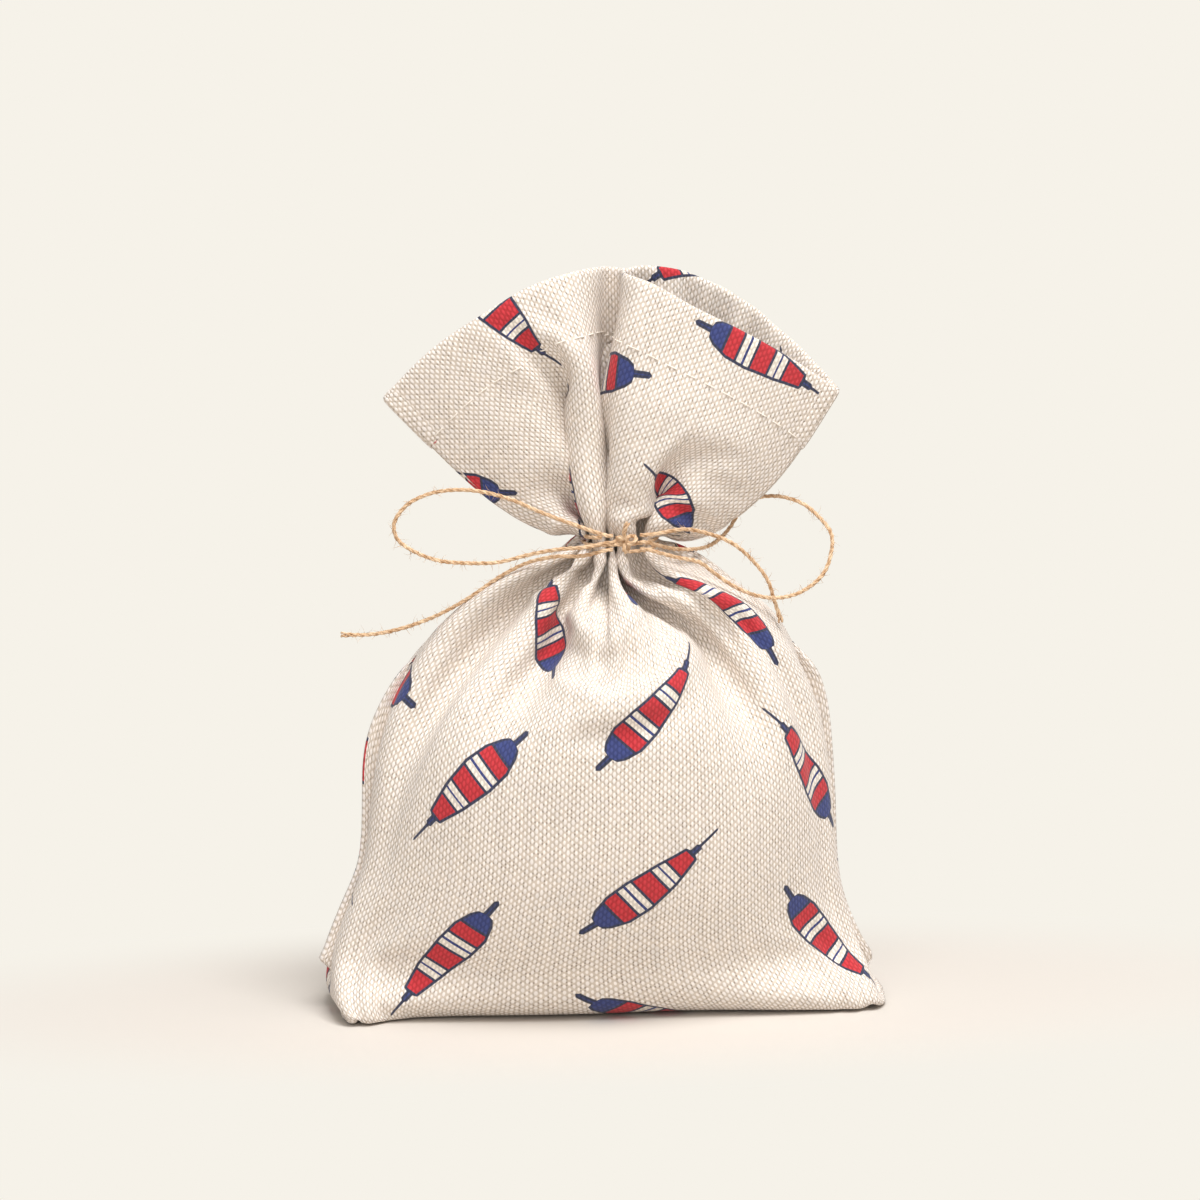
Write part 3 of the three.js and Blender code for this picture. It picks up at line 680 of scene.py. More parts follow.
def make_bow_strands(twine):
    """The bow's four strands as free cords. Gives back their paths."""
    paths = []
    for number, (name, route) in enumerate(STRAND_ROUTES.items()):
        path = catmull_rom(route, TWINE_STEP)
        fray = STRAND_FRAY if STRAND_ENDS[name] == "bare" else 0.0
        points, faces = laid_twine(path, start_turn=number * STRAND_TURN, fray=fray)
        strand = new_mesh(name + "_twine", points, faces)
        strand.data.materials.append(twine)
        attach(strand, "root")
        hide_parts(name)
        paths.append(path)
    return paths


def body_shape(s, v, side, foot_edge):
    """The filled body without folds: each row of cloth is a half ring whose edges, depth and height come from
    BODY_SECTIONS, as deep as the cosine of its turn to a power. It passes into the foot's charted edge over
    FOOT_RISE, and the rows under that close the flat foot. The foot's edge stands off the floor by EDGE_LIFT,
    which falls off above it by a factor of e in each EDGE_FADE. The ears turn both side seams forward."""
    z = np.linspace(0, TIE_HEIGHT, BODY_LEVELS)
    depth = smooth_through(BODY_SECTIONS[:, 0], BODY_SECTIONS[:, 3], z)[:, 0]
    up_the_cloth = FOOT_HALF_DEPTH + np.concatenate([[0], np.cumsum(np.hypot(np.diff(z), np.diff(depth)))])
    up_the_cloth += PLEAT_EXTRA * np.clip(1 - (TIE_HEIGHT - z) / PLEAT_REACH, 0, 1) ** 2
    scale = TIE_AT / up_the_cloth[-1]
    s_grid, v_grid = np.meshgrid(s, v)
    turn = s_grid / FACE_HALF * np.pi / 2
    height = np.interp(np.minimum(v_grid, TIE_AT) / scale, up_the_cloth, z)
    section = smooth_through(BODY_SECTIONS[:, 0], BODY_SECTIONS[:, 1:], height.ravel())
    section = section.reshape(height.shape + (3,))
    left, right, deep = section[..., 0], section[..., 1], section[..., 2]
    low = np.clip(1 - height / SQUARING_RISE, 0, 1)
    power = 1 + BELLY_POWER * np.clip(1 - height / BELLY_RISE, 0, 1)
    power = power - FOOT_SQUARING * low ** 2 * (3 - 2 * low)
    round_share = np.maximum(np.cos(turn), 0)
    place, edge = np.array(foot_edge, float).T
    edge = smooth_through(place, edge, s_grid)[..., 0]
    half_ring = deep * round_share ** power
    at_floor = BODY_SECTIONS[0, 3] * round_share ** FOOT_POWER
    half_ring += (edge - at_floor) * np.clip(1 - height / FOOT_RISE, 0, 1) ** 2
    body = np.stack([(left + right) / 2 + (right - left) / 2 * np.sin(turn), side * half_ring, height], -1)
    foot_share = np.clip(v_grid / scale / FOOT_HALF_DEPTH, 0, 1)
    foot = np.stack([body[..., 0], side * edge * foot_share, 0 * v_grid], -1)
    lifted = EDGE_LIFT * round_share ** 0.5
    body[..., 2] += lifted * np.exp(-height / EDGE_FADE)
    # the foot lies flat as far as its last fifth, which rises to the lifted edge
    foot[..., 2] = lifted * np.clip(foot_share * 5 - 4, 0, 1) ** 2
    shape = np.where((v_grid / scale < FOOT_HALF_DEPTH)[..., None], foot, body)
    ear = np.where(s_grid < 0, LEFT_EAR, RIGHT_EAR) * np.abs(s_grid / FACE_HALF) ** EAR_POWER
    shape[..., 1] -= ear * np.clip(1 - v_grid / EAR_HEIGHT, 0, 1) ** 2
    return shape


def goal_shape(step):
    """Where the cloth is drawn to: the body's shape, gathered towards the neck's folds over PLEAT_REACH by a
    power of the way up and moved to the charted rows of the shoulders, then the ruffle's charted rows, with a
    monotone cubic between all of them."""
    s = np.arange(-FACE_HALF, FACE_HALF + step / 2, step)
    v = np.arange(0, CLOTH_HIGH + step / 2, step)
    _, v_grid = np.meshgrid(s, v)
    faces = []
    for name, side in (("front", -1), ("back", 1)):
        folds = np.array(NECK_FOLDS[name], float)
        neck_x = on_sight_line(folds[:, 1], np.full(len(folds), NECK_UP), folds[:, 2])[:, 0]
        neck = np.stack([np.interp(s, folds[:, 0], neck_x), np.interp(s, folds[:, 0], folds[:, 2]),
                         np.full_like(s, TIE_HEIGHT)], -1)
        rows = {0: neck}
        for level, chart in FOLDS[name].items():
            place, across, up, y = np.array(chart, float).T
            rows[level] = smooth_through(place, on_sight_line(across, up, y), s)
        shape = body_shape(s, v, side, FOOT_EDGE[name])
        share = np.clip((v_grid - (TIE_AT - PLEAT_REACH)) / PLEAT_REACH, 0, 1)[..., None] ** PLEAT_POWER
        at_neck = np.broadcast_to(neck[None, :, :2], shape.shape[:2] + (2,))
        gathered = np.concatenate([at_neck, shape[..., 2:3]], -1)
        shape = (1 - share) * shape + share * gathered
        levels = [level for level in sorted(rows) if level <= 0]
        plain = smooth_through(v, shape.reshape(len(v), -1), TIE_AT + np.array(levels, float))
        plain = plain.reshape(-1, len(s), 3)
        offsets = np.stack([0 * neck] + [rows[level] - plain[i] for i, level in enumerate(levels)])
        below = (v >= TIE_AT - SHOULDER_REACH) & (v <= TIE_AT)
        offsets = offsets.reshape(len(offsets), -1)
        moved = smooth_through([-SHOULDER_REACH] + levels, offsets, v[below] - TIE_AT)
        shape[below] += moved.reshape(below.sum(), len(s), 3)
        above = v > TIE_AT
        levels = [level for level in sorted(rows) if level >= 0]
        charted = np.stack([rows[level] for level in levels]).reshape(len(levels), -1)
        ruffle = smooth_through(levels, charted, v[above] - TIE_AT)
        shape[above] = ruffle.reshape(above.sum(), len(s), 3)
        faces.append(shape)
    return s, v, np.stack(faces)


def sew(cloth):
    """Brings the two faces together along both side seams and the bottom fold, halfway between them."""
    for column in (0, -1):
        cloth[:, :, column] = cloth[:, :, column].mean(0)
    cloth[:, 0] = cloth[:, 0].mean(0)


def outward(cloth):
    """Unit normals of both faces, from the differences along rows and columns, pointing out of the pouch."""
    n = np.cross(np.gradient(cloth, axis=2), np.gradient(cloth, axis=1))
    n[1] *= -1
    return n / (np.linalg.norm(n, axis=-1, keepdims=True) + 1e-9)


def thread_pairs(rows, columns, step):
    """Pairs of points that keep their distance, in groups that share no point: (first, second, length, kind).
    Threads run both ways, shear pairs across each mesh, and bending pairs BENDING_STEPS apart."""
    every = slice(None)
    groups = []
    for p in (0, 1):
        n = (columns - p) // 2 * 2
        low, high = slice(p, p + n, 2), slice(p + 1, p + n, 2)
        groups.append(((every, every, low), (every, every, high), step, "thread"))
        n = (rows - p) // 2 * 2
        low, high = slice(p, p + n, 2), slice(p + 1, p + n, 2)
        groups.append(((every, low), (every, high), step, "thread"))
        left, right = slice(0, columns - 1), slice(1, columns)
        groups.append(((every, low, left), (every, high, right), step * 2 ** 0.5, "shear"))
        groups.append(((every, low, right), (every, high, left), step * 2 ** 0.5, "shear"))
    for gap in BENDING_STEPS:
        for start in range(2 * gap):
            for count, ahead in ((columns, (every, every)), (rows, (every,))):
                at = np.arange(start, count - gap, 2 * gap)
                if len(at):
                    near = slice(start, at[-1] + 1, 2 * gap)
                    far = slice(start + gap, at[-1] + gap + 1, 2 * gap)
                    groups.append((ahead + (near,), ahead + (far,), step * gap, gap))
    return groups


def keep_length(cloth, free, first, second, length, share, push_only):
    """Moves both points of each pair along their line, by that share of what is missing from the length."""
    a, b = cloth[first], cloth[second]
    line = b - a
    now = np.sqrt((line * line).sum(-1)) + 1e-9
    free_a, free_b = free[first], free[second]
    off = (now - length) / now
    if push_only:
        off = np.minimum(off, 0)
    line = line * (share * off / (free_a + free_b + 1e-9))[..., None]
    cloth[first] = a + line * free_a[..., None]
    cloth[second] = b - line * free_b[..., None]


def keep_apart(cloth, free, places, clearance, near):
    """Pushes apart points that come closer than the clearance but lie further than near along the cloth.
    Points are sorted by the cell of space that they are in, and compared with their neighbours' cells."""
    flat = cloth.reshape(-1, 3)
    count = len(flat)
    cell = np.floor(flat / clearance).astype(np.int64)
    cell -= cell.min(0)
    size = cell.max(0) + 3
    key = (cell[:, 0] * size[1] + cell[:, 1]) * size[2] + cell[:, 2]
    order = np.argsort(key, kind="stable")
    key = key[order]
    found_a, found_b = [], []
    for dx, dy, dz in [(0, 0, 0), (1, 0, 0), (0, 1, 0), (0, 0, 1), (1, 1, 0), (1, -1, 0), (1, 0, 1),
                       (1, 0, -1), (0, 1, 1), (0, 1, -1), (1, 1, 1), (1, 1, -1), (1, -1, 1), (1, -1, -1)]:
        offset = (dx * size[1] + dy) * size[2] + dz
        low = np.searchsorted(key, key + offset, "left")
        high = np.searchsorted(key, key + offset, "right")
        if offset == 0:
            low = np.arange(count) + 1
        many = np.maximum(high - low, 0)
        first = np.repeat(np.arange(count), many)
        within = np.arange(many.sum()) - np.repeat(np.cumsum(many) - many, many)
        found_a.append(order[first])
        found_b.append(order[np.repeat(low, many) + within])
    a, b = np.concatenate(found_a), np.concatenate(found_b)
    line = flat[b] - flat[a]
    square = (line * line).sum(1)
    close = (square < clearance ** 2) & (square > 1e-8)
    a, b, line, gap = a[close], b[close], line[close], np.sqrt(square[close])
    pa, pb = places[a], places[b]
    direct = np.maximum(np.abs(pa[:, 1] - pb[:, 1]), np.abs(pa[:, 2] - pb[:, 2]))
    total = pa[:, 1] + pb[:, 1]
    round_side = np.maximum(2 * FACE_HALF - np.abs(total), np.abs(pa[:, 2] - pb[:, 2]))
    round_foot = np.maximum(pa[:, 2] + pb[:, 2], np.abs(pa[:, 1] - pb[:, 1]))
    apart = np.where(pa[:, 0] == pb[:, 0], direct, np.minimum(round_side, round_foot)) > near
    a, b, line, gap = a[apart], b[apart], line[apart], gap[apart]
    push = line * (0.5 * (clearance - gap) / gap)[:, None]
    move = np.zeros_like(flat)
    hits = np.zeros(count)
    np.add.at(move, a, -push)
    np.add.at(move, b, push)
    np.add.at(hits, a, 1)
    np.add.at(hits, b, 1)
    flat += move / np.maximum(hits, 1)[:, None] * free.reshape(-1)[:, None]


def settle(cloth, step, goal, pull, pinned, press, rounds, touching):
    """Position-based cloth: each round carries the points on at KEPT_SPEED, presses the filled part outwards,
    draws every point a little towards its goal, and then puts each thread, shear and bending pair right. The
    sewn edges stay together, no point goes under FLOOR_LIFT, and every TOUCH_ROUNDS the layers are kept apart
    where touching is asked for."""
    rows, columns = cloth.shape[1:3]
    groups = thread_pairs(rows, columns, step)
    free = np.where(pinned, 0.0, 1.0)
    s_grid, v_grid = np.meshgrid(np.linspace(-FACE_HALF, FACE_HALF, columns), step * np.arange(rows))
    face = np.repeat([0, 1], rows * columns)
    places = np.stack([face, np.tile(s_grid.ravel(), 2), np.tile(v_grid.ravel(), 2)], 1)
    last = cloth.copy()
    for number in range(rounds):
        speed = (cloth - last) * KEPT_SPEED
        last = cloth.copy()
        cloth = cloth + speed * free[..., None]
        cloth += outward(cloth) * (press * free)[..., None]
        cloth += (goal - cloth) * (pull * free)[..., None]
        for _ in range(LENGTH_PASSES):
            for first, second, length, kind in groups:
                keep_length(cloth, free, first, second, length, LENGTH_SHARES[kind], kind in BENDING_STEPS)
            sew(cloth)
            np.maximum(cloth[..., 2], FLOOR_LIFT, out=cloth[..., 2])
        if touching and number % TOUCH_ROUNDS == 0:
            keep_apart(cloth, free, places, CLOTH_CLEARANCE, TOUCH_STEPS * step)
        cloth[pinned] = goal[pinned]
    return cloth


def pull_to_chart(s_grid, v_grid):
    """The share of PULLS at each point of one face. A part further down this list takes over those above."""
    off_middle = np.abs(s_grid)
    parts = {
        "shoulders": v_grid > TIE_AT - PLEAT_REACH,
        "ruffle": v_grid > TIE_AT,
        "mouth": v_grid >= CLOTH_HIGH - MOUTH_BAND,
        "ruffle_edge": (off_middle > RUFFLE_EDGE) & (v_grid > TIE_AT + FINE_STEP),
        "side_seam": (off_middle > SIDE_SEAM) & (v_grid < TIE_AT - FINE_STEP),
        "low_belly": v_grid < LOW_BELLY_END,
        "foot": v_grid < FOOT_END,
    }
    pull = np.full(s_grid.shape, PULLS["belly"])
    for part, here in parts.items():
        pull[here] = PULLS[part]
    return pull


def finer(cloth, s_before, v_before, s, v):
    """The cloth of a coarse grid at the points of a finer one, along the width first and then the height."""
    rows, columns = len(v_before), len(s_before)
    wide = [smooth_through(s_before, face.transpose(1, 0, 2).reshape(columns, -1), s) for face in cloth]
    wide = [face.reshape(len(s), rows, 3).transpose(1, 0, 2).reshape(rows, -1) for face in wide]
    return np.stack([smooth_through(v_before, face, v).reshape(len(v), len(s), 3) for face in wide])


def simulated_cloth():
    """The two faces of cloth, settled from the charted folds: a coarse grid first, then a fine one that
    starts from it in the body and from the chart in the ruffle."""
    cloth = None
    for step, rounds in ((COARSE_STEP, COARSE_ROUNDS), (FINE_STEP, FINE_ROUNDS)):
        s, v, goal = goal_shape(step)
        s_grid, v_grid = np.meshgrid(s, v)
        both = np.ones(goal.shape[:3])
        pull = pull_to_chart(s_grid, v_grid) * both
        press = np.clip((TIE_AT - PRESS_END - v_grid) / PRESS_FADE, 0, 1) * both * FILLING_PRESS * step
        if cloth is None:
            cloth = goal.copy()
        else:
            cloth = finer(cloth, s_before, v_before, s, v)
            ruffle = np.clip((v_grid - (TIE_AT - RUFFLE_BLEND)) / RUFFLE_BLEND, 0, 1)[None, ..., None]
            cloth = cloth * (1 - ruffle) + goal * ruffle
        pinned = (np.abs(v_grid - TIE_AT) < TIE_REACH) & (both > 0)
        cloth = settle(cloth, step, goal, pull, pinned, press, rounds, step == FINE_STEP)
        s_before, v_before = s, v
    # near the mouth the sewn edges leave crinkles shorter than linen holds, and they are evened out there
    beside_seam = np.clip((np.abs(s) - CRINKLE_SIDE) / CRINKLE_FADE, 0, 1)[None, :, None]
    edge = beside_seam * np.clip((v - TIE_AT - CRINKLE_ABOVE) / CRINKLE_FADE, 0, 1)[:, None, None]
    for _ in range(CRINKLE_ROUNDS):
        even = (cloth[:, :, :-2] + 2 * cloth[:, :, 1:-1] + cloth[:, :, 2:]) / 4
        cloth[:, :, 1:-1] += (even - cloth[:, :, 1:-1]) * edge[:, 1:-1]
    return s, v, cloth


def seam_lines(cloth, normal, face, v):
    """For each side seam of one face, the lines where the cloth bends, turns over and ends inside. They run
    inwards from the sewn edge, and stand off it by shares of SEAM_GAP towards this face's own side."""
    lines = []
    for column, beside in ((0, 2), (-1, -3)):
        line = cloth[face][:, column]
        out = line - cloth[:, :, beside].mean(0)
        out /= np.linalg.norm(out, axis=-1, keepdims=True) + 1e-9
        apart = normal[face][:, column] - normal[1 - face][:, column]
        apart /= np.linalg.norm(apart, axis=-1, keepdims=True) + 1e-9
        aside = apart * SEAM_GAP / 2
        inwards = out * np.clip(v / ALLOWANCE_RISE, LEAST_ALLOWANCE_SHARE, 1)[:, None]
        lines.append((line - inwards * SEAM_BEND + aside * SEAM_SPREAD, line - inwards * SEAM_TURN + aside,
                      line - inwards * SEAM_ALLOWANCE + aside))
    return lines


def sewn_face(cloth, normal, face, s, v):
    """One face with its seam allowances turned in, and its mouth turned down inside as a hem: the rows past
    the mouth follow the face's own top rows, offset inwards by HEM_DEPTH and the cloth's thickness, and by
    less over HEM_FADE beside a seam. Gives back its points, and their places on the flat strip."""
    shape, n = cloth[face].copy(), normal[face]
    left, right = seam_lines(cloth, normal, face, v)
    shape[:, 0], shape[:, -1] = left[0], right[0]
    shape = np.concatenate([left[2][:, None], left[1][:, None], shape,
                            right[1][:, None], right[2][:, None]], 1)
    n = np.concatenate([n[:, :1], n[:, :1], n, n[:, -1:], n[:, -1:]], 1)
    # where the outside faces up, the thickness and the layer under it need room above the floor
    room = 2 * CLOTH_THICK * np.clip(2 * n[..., 2], 0, 1)
    shape[..., 2] = np.maximum(shape[..., 2], FLOOR_LIFT + room)
    for side_columns in (shape[:, :4], shape[:, -4:]):
        np.maximum(side_columns[..., 2], FLOOR_LIFT + CLOTH_THICK, out=side_columns[..., 2])
    rise = shape[-1] - shape[-2]
    rise /= np.linalg.norm(rise, axis=-1, keepdims=True)
    for _ in range(NORMAL_ROUNDS):
        n[:, 1:-1] = (n[:, :-2] + 2 * n[:, 1:-1] + n[:, 2:]) / 4
        n[1:-1] = (n[:-2] + 2 * n[1:-1] + n[2:]) / 4
    seam_s = FACE_HALF + np.array([SEAM_TURN, SEAM_ALLOWANCE])
    flat_s = np.concatenate([-seam_s[::-1], s, seam_s])
    # the hem lies against the face near the side seams, where the other face is close
    depth = np.clip((FACE_HALF - np.abs(flat_s)) / HEM_FADE, LEAST_HEM_SHARE, 1)[:, None]
    lip = shape[-1] + rise * LIP_RISE - n[-2] * depth * LIP_DEPTH
    hem_steps = [0, 1] + list(range(3, int(HEM_WIDTH / FINE_STEP) + 1, 2))
    turned = [-1 - row for row in hem_steps]
    turned = shape[turned] - n[turned] * depth * (HEM_DEPTH + CLOTH_THICK)
    hem_v = CLOTH_HIGH + TURN_CLOTH + FINE_STEP * np.array(hem_steps)
    flat = np.meshgrid(flat_s, np.concatenate([v, [CLOTH_HIGH + LIP_CLOTH], hem_v]))
    return np.concatenate([shape, lip[None], turned]), np.stack(flat, -1)


def make_cloth(s, v, cloth, linen):
    """The sewn cloth: both faces, joined at the bottom fold apart from the allowances. The back's places on
    the flat strip are mirrored beside the front's, so the two don't share a print. Gives back the points."""
    normal = outward(cloth)
    grids, flats = zip(*[sewn_face(cloth, normal, face, s, v) for face in (0, 1)])
    flats[1][..., 0] = 2 * FACE_HALF + FLAT_GAP - flats[1][..., 0]
    rows, columns = grids[0].shape[:2]
    index = np.arange(rows * columns).reshape(rows, columns)
    back = index + rows * columns
    grids[0][0] = (grids[0][0] + grids[1][0]) / 2
    back[0] = index[0]
    faces = np.concatenate([grid_faces(index), grid_faces(back, flip=True)])
    points = np.concatenate([g.reshape(-1, 3) for g in grids])
    points[:, 2] = np.maximum(points[:, 2], FLOOR_LIFT)
    used, faces_used = np.unique(faces, return_inverse=True)
    flat = np.concatenate([f.reshape(-1, 2) for f in flats])
    per_face = flat[faces]
    # the back's lowest faces share the fold's points with the front, but not their places on the strip
    last_half = len(faces) // 2
    shared = faces[last_half:] < rows * columns
    per_face[last_half:][shared] = flats[1].reshape(-1, 2)[faces[last_half:][shared]]
    made = new_mesh("pouch_cloth", points[used], faces_used.reshape(faces.shape))
    layer = made.data.uv_layers.new(name="cloth")
    layer.data.foreach_set("uv", (per_face * MM).astype(np.float32).ravel())
    for side in linen:
        made.data.materials.append(side)
    solid = made.modifiers.new("thickness", "SOLIDIFY")
    solid.thickness = CLOTH_THICK * MM
    solid.offset = -1
    solid.material_offset = 1
    smooth = made.modifiers.new("smooth", "SUBSURF")
    smooth.levels = smooth.render_levels = 1
    smooth.uv_smooth = "PRESERVE_BOUNDARIES"
    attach(made, "root")
    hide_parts("front_panel", "back_panel")
    return points[used]


def make_filling(sewn, wadding):
    """The wadding: rings round an upright line through the body. In each direction and at each height its
    reach is the least reach of the cloth nearby, less FILLING_GAP, evened out round and up, and it closes in
    a point at either end."""
    heights = np.linspace(*FILLING_SPAN, FILLING_RINGS)
    turn = np.arange(FILLING_SIDES) * 2 * np.pi / FILLING_SIDES
    inside = sewn[sewn[:, 2] < FILLING_SPAN[1] + CLOTH_ABOVE]
    middle = np.interp(inside[:, 2], BODY_SECTIONS[:, 0], BODY_SECTIONS[:, 1:3].mean(1))
    reach = np.hypot(inside[:, 0] - middle, inside[:, 1])
    way = np.arctan2(inside[:, 1], inside[:, 0] - middle)
    level = np.abs(heights[:, None] - inside[:, 2]) < NEAR_HEIGHT
    ahead = np.abs((turn[:, None] - way + np.pi) % (2 * np.pi) - np.pi) < NEAR_TURN
    near = level[:, None] & ahead[None]
    least = np.where(near, reach, FACE_HALF).min(-1) - FILLING_GAP
    for _ in range(FILLING_ROUNDS):
        least = np.minimum(least, (np.roll(least, 1, 1) + 2 * least + np.roll(least, -1, 1)) / 4)
        least[1:-1] = np.minimum(least[1:-1], (least[:-2] + 2 * least[1:-1] + least[2:]) / 4)
    least = np.maximum(least, LEAST_REACH)
    centre = np.interp(heights, BODY_SECTIONS[:, 0], BODY_SECTIONS[:, 1:3].mean(1))[:, None]
    ring = np.stack([centre + least * np.cos(turn), least * np.sin(turn), heights[:, None] + 0 * least], -1)
    count, sides = least.shape
    ends = [ring[0].mean(0) - (0, 0, FILLING_TIPS[0]), ring[-1].mean(0) + (0, 0, FILLING_TIPS[1])]
    points = np.concatenate([ring.reshape(-1, 3), ends])
    index = np.arange(count * sides).reshape(count, sides)
    index = np.concatenate([index, index[:, :1]], 1)
    low, high = count * sides, count * sides + 1
    faces = grid_faces(index).tolist()
    faces += [[low, index[0, k + 1], index[0, k]] for k in range(sides)]
    faces += [[high, index[-1, k], index[-1, k + 1]] for k in range(sides)]
    made = new_mesh("wadding_filling", points, faces)
    made.data.materials.append(wadding)
    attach(made, "root")
    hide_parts("filling")


def make_stitches(s, cloth, thread):
    """The hem's stitches, on both sides of each face: each is a short tube along the row of cloth under the
    mouth. Its middle stands off the cloth by STITCH_STAND, and both ends dip into it by the eighth power of
    the way out."""
    normal = outward(cloth)
    t = np.sin(np.linspace(-1, 1, STITCH_POINTS) * np.pi / 2)
    starts = np.arange(-FACE_HALF + STITCH_MARGIN, FACE_HALF - STITCH_MARGIN, STITCH_PITCH)
    parts = []
    for face in (0, 1):
        row = (CLOTH_HIGH - STITCH_BELOW) / FINE_STEP
        low, share = int(row), row % 1
        line = cloth[face][low] * (1 - share) + cloth[face][low + 1] * share
        out = normal[face][low]
        for depth, side in ((0.0, 1), (HEM_DEPTH + CLOTH_THICK, -1)):
            for middle in starts + (0 if side > 0 else STITCH_PITCH / 2):
                place = middle + t * STITCH_LENGTH / 2
                on_cloth = np.stack([np.interp(place, s, line[:, k]) for k in range(3)], 1)
                away = np.stack([np.interp(place, s, out[:, k]) for k in range(3)], 1)
                lift = side * (STITCH_STAND - STITCH_DIP * t ** 8) - depth
                points, quads, caps = tube(on_cloth + away * lift[:, None], THREAD_RADIUS, STITCH_SIDES)
                parts.append((points, quads + caps))
    points, faces = join_parts(parts)
    made = new_mesh("hem_stitches", points, faces)
    made.data.materials.append(thread)
    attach(made, "root")


def make_wrap(cloth, twine):
    """The turns of twine round the neck: a helix on the outline that bounds the neck's folds, which is the
    furthest fold in each direction, plus the twine's radius and WRAP_ROOM."""
    row = int(round(TIE_AT / FINE_STEP))
    neck = np.concatenate([cloth[0][row], cloth[1][row]])[:, :2]
    turn = np.linspace(0, 2 * np.pi, WRAP_DIRECTIONS + 1)[:-1]
    way = np.stack([np.sin(turn), -np.cos(turn)], 1)
    reach = (neck @ way.T).max(0)
    for _ in range(WRAP_ROUNDS):
        reach = (np.roll(reach, 1) + 2 * reach + np.roll(reach, -1)) / 4
    reach += TWINE / 2 + WRAP_ROOM
    slope = (np.roll(reach, -1) - np.roll(reach, 1)) / (2 * (turn[1] - turn[0]))
    across = np.stack([np.cos(turn), np.sin(turn)], 1)
    loop = reach[:, None] * way + slope[:, None] * across
    at = np.linspace(WRAP_STOP, WRAP_TURNS * 2 * np.pi - WRAP_STOP, WRAP_POINTS)
    x = np.interp(at % (2 * np.pi), np.append(turn, 2 * np.pi), np.append(loop[:, 0], loop[0, 0]))
    y = np.interp(at % (2 * np.pi), np.append(turn, 2 * np.pi), np.append(loop[:, 1], loop[0, 1]))
    z = TIE_HEIGHT + (at / (2 * np.pi) - WRAP_TURNS / 2) * WRAP_RISE
    path = catmull_rom(np.stack([x, y, z], 1)[::4], TWINE_STEP)
    points, faces = laid_twine(path)
    made = new_mesh("neck_wrap_twine", points, faces)
    made.data.materials.append(twine)
    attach(made, "root")
    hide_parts("neck_wrap")


def make_knot(twine):
    """The knot: twine along a trefoil, which swings sideways by the sines of one and two turns, upright by
    their cosines and in depth by the sine of three turns, with a nub that stands up and a bar across."""
    x, y, z = KNOT_CENTRE
    wide, deep, tall = KNOT_SWING
    t = np.linspace(0, 2 * np.pi, KNOT_POINTS)
    lobes = np.stack([x + wide * (np.sin(t) + SECOND_SWING * np.sin(2 * t)),
                      y + KNOT_SET_BACK - deep * np.sin(3 * t),
                      z + tall * (np.cos(t) - SECOND_SWING * np.cos(2 * t))], 1)
    parts = [
        laid_twine(catmull_rom(lobes[::3], TWINE_STEP)),
        laid_twine(catmull_rom(np.array(KNOT_CENTRE) + KNOT_NUB, TWINE_STEP), fray=NUB_FRAY),
        laid_twine(catmull_rom(np.array(KNOT_CENTRE) + KNOT_BAR, TWINE_STEP)),
    ]
    points, faces = join_parts(parts)
    made = new_mesh("bow_knot_twine", points, faces)
    made.data.materials.append(twine)
    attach(made, "root")
    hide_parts("bow_knot")


def make_fibres(paths, twine):
    """Stray fibres: hairs that leave the twine at random places, lean along it and bend, and end up to 2 mm
    off it."""
    rng = np.random.default_rng(FIBRE_SEED)
    parts = []
    for path in paths:
        tangent, a, b = turning_frame(path)
        for i in rng.integers(3, len(path) - 3, int(len(path) * FIBRES_PER_STEP)):
            turn = rng.uniform(0, 2 * np.pi)
            out = math.cos(turn) * a[i] + math.sin(turn) * b[i]
            lean = tangent[i] * rng.uniform(-FIBRE_LEAN, FIBRE_LEAN)
            reach = rng.uniform(*FIBRE_REACH)
            t = np.linspace(0, 1, 5)[:, None]
            line = path[i] + out * (FIBRE_ROOT + reach * t ** FIBRE_RISE) + lean * t
            line = line + rng.normal(0, FIBRE_BEND, 3) * t * (1 - t) * 4
            points, quads, caps = tube(line, FIBRE_RADIUS * (FIBRE_TAPER - t[:, 0]), 3)
            parts.append((points, quads + caps))
    points, faces = join_parts(parts)
    made = new_mesh("twine_fibres", points, faces)
    made.data.materials.append(twine)
    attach(made, "root")


def new_material(name, hex_colour, roughness):
    """A new material with its tree and its shader, of that colour and roughness."""
    material = bpy.data.materials.new(name)
    material.use_nodes = True
    tree = material.node_tree
    shader = tree.nodes["Principled BSDF"]
    shader.inputs["Base Color"].default_value = linear(hex_colour)
    shader.inputs["Roughness"].default_value = roughness
    shader.inputs["Specular IOR Level"].default_value = 0.2
    return material, tree, shader


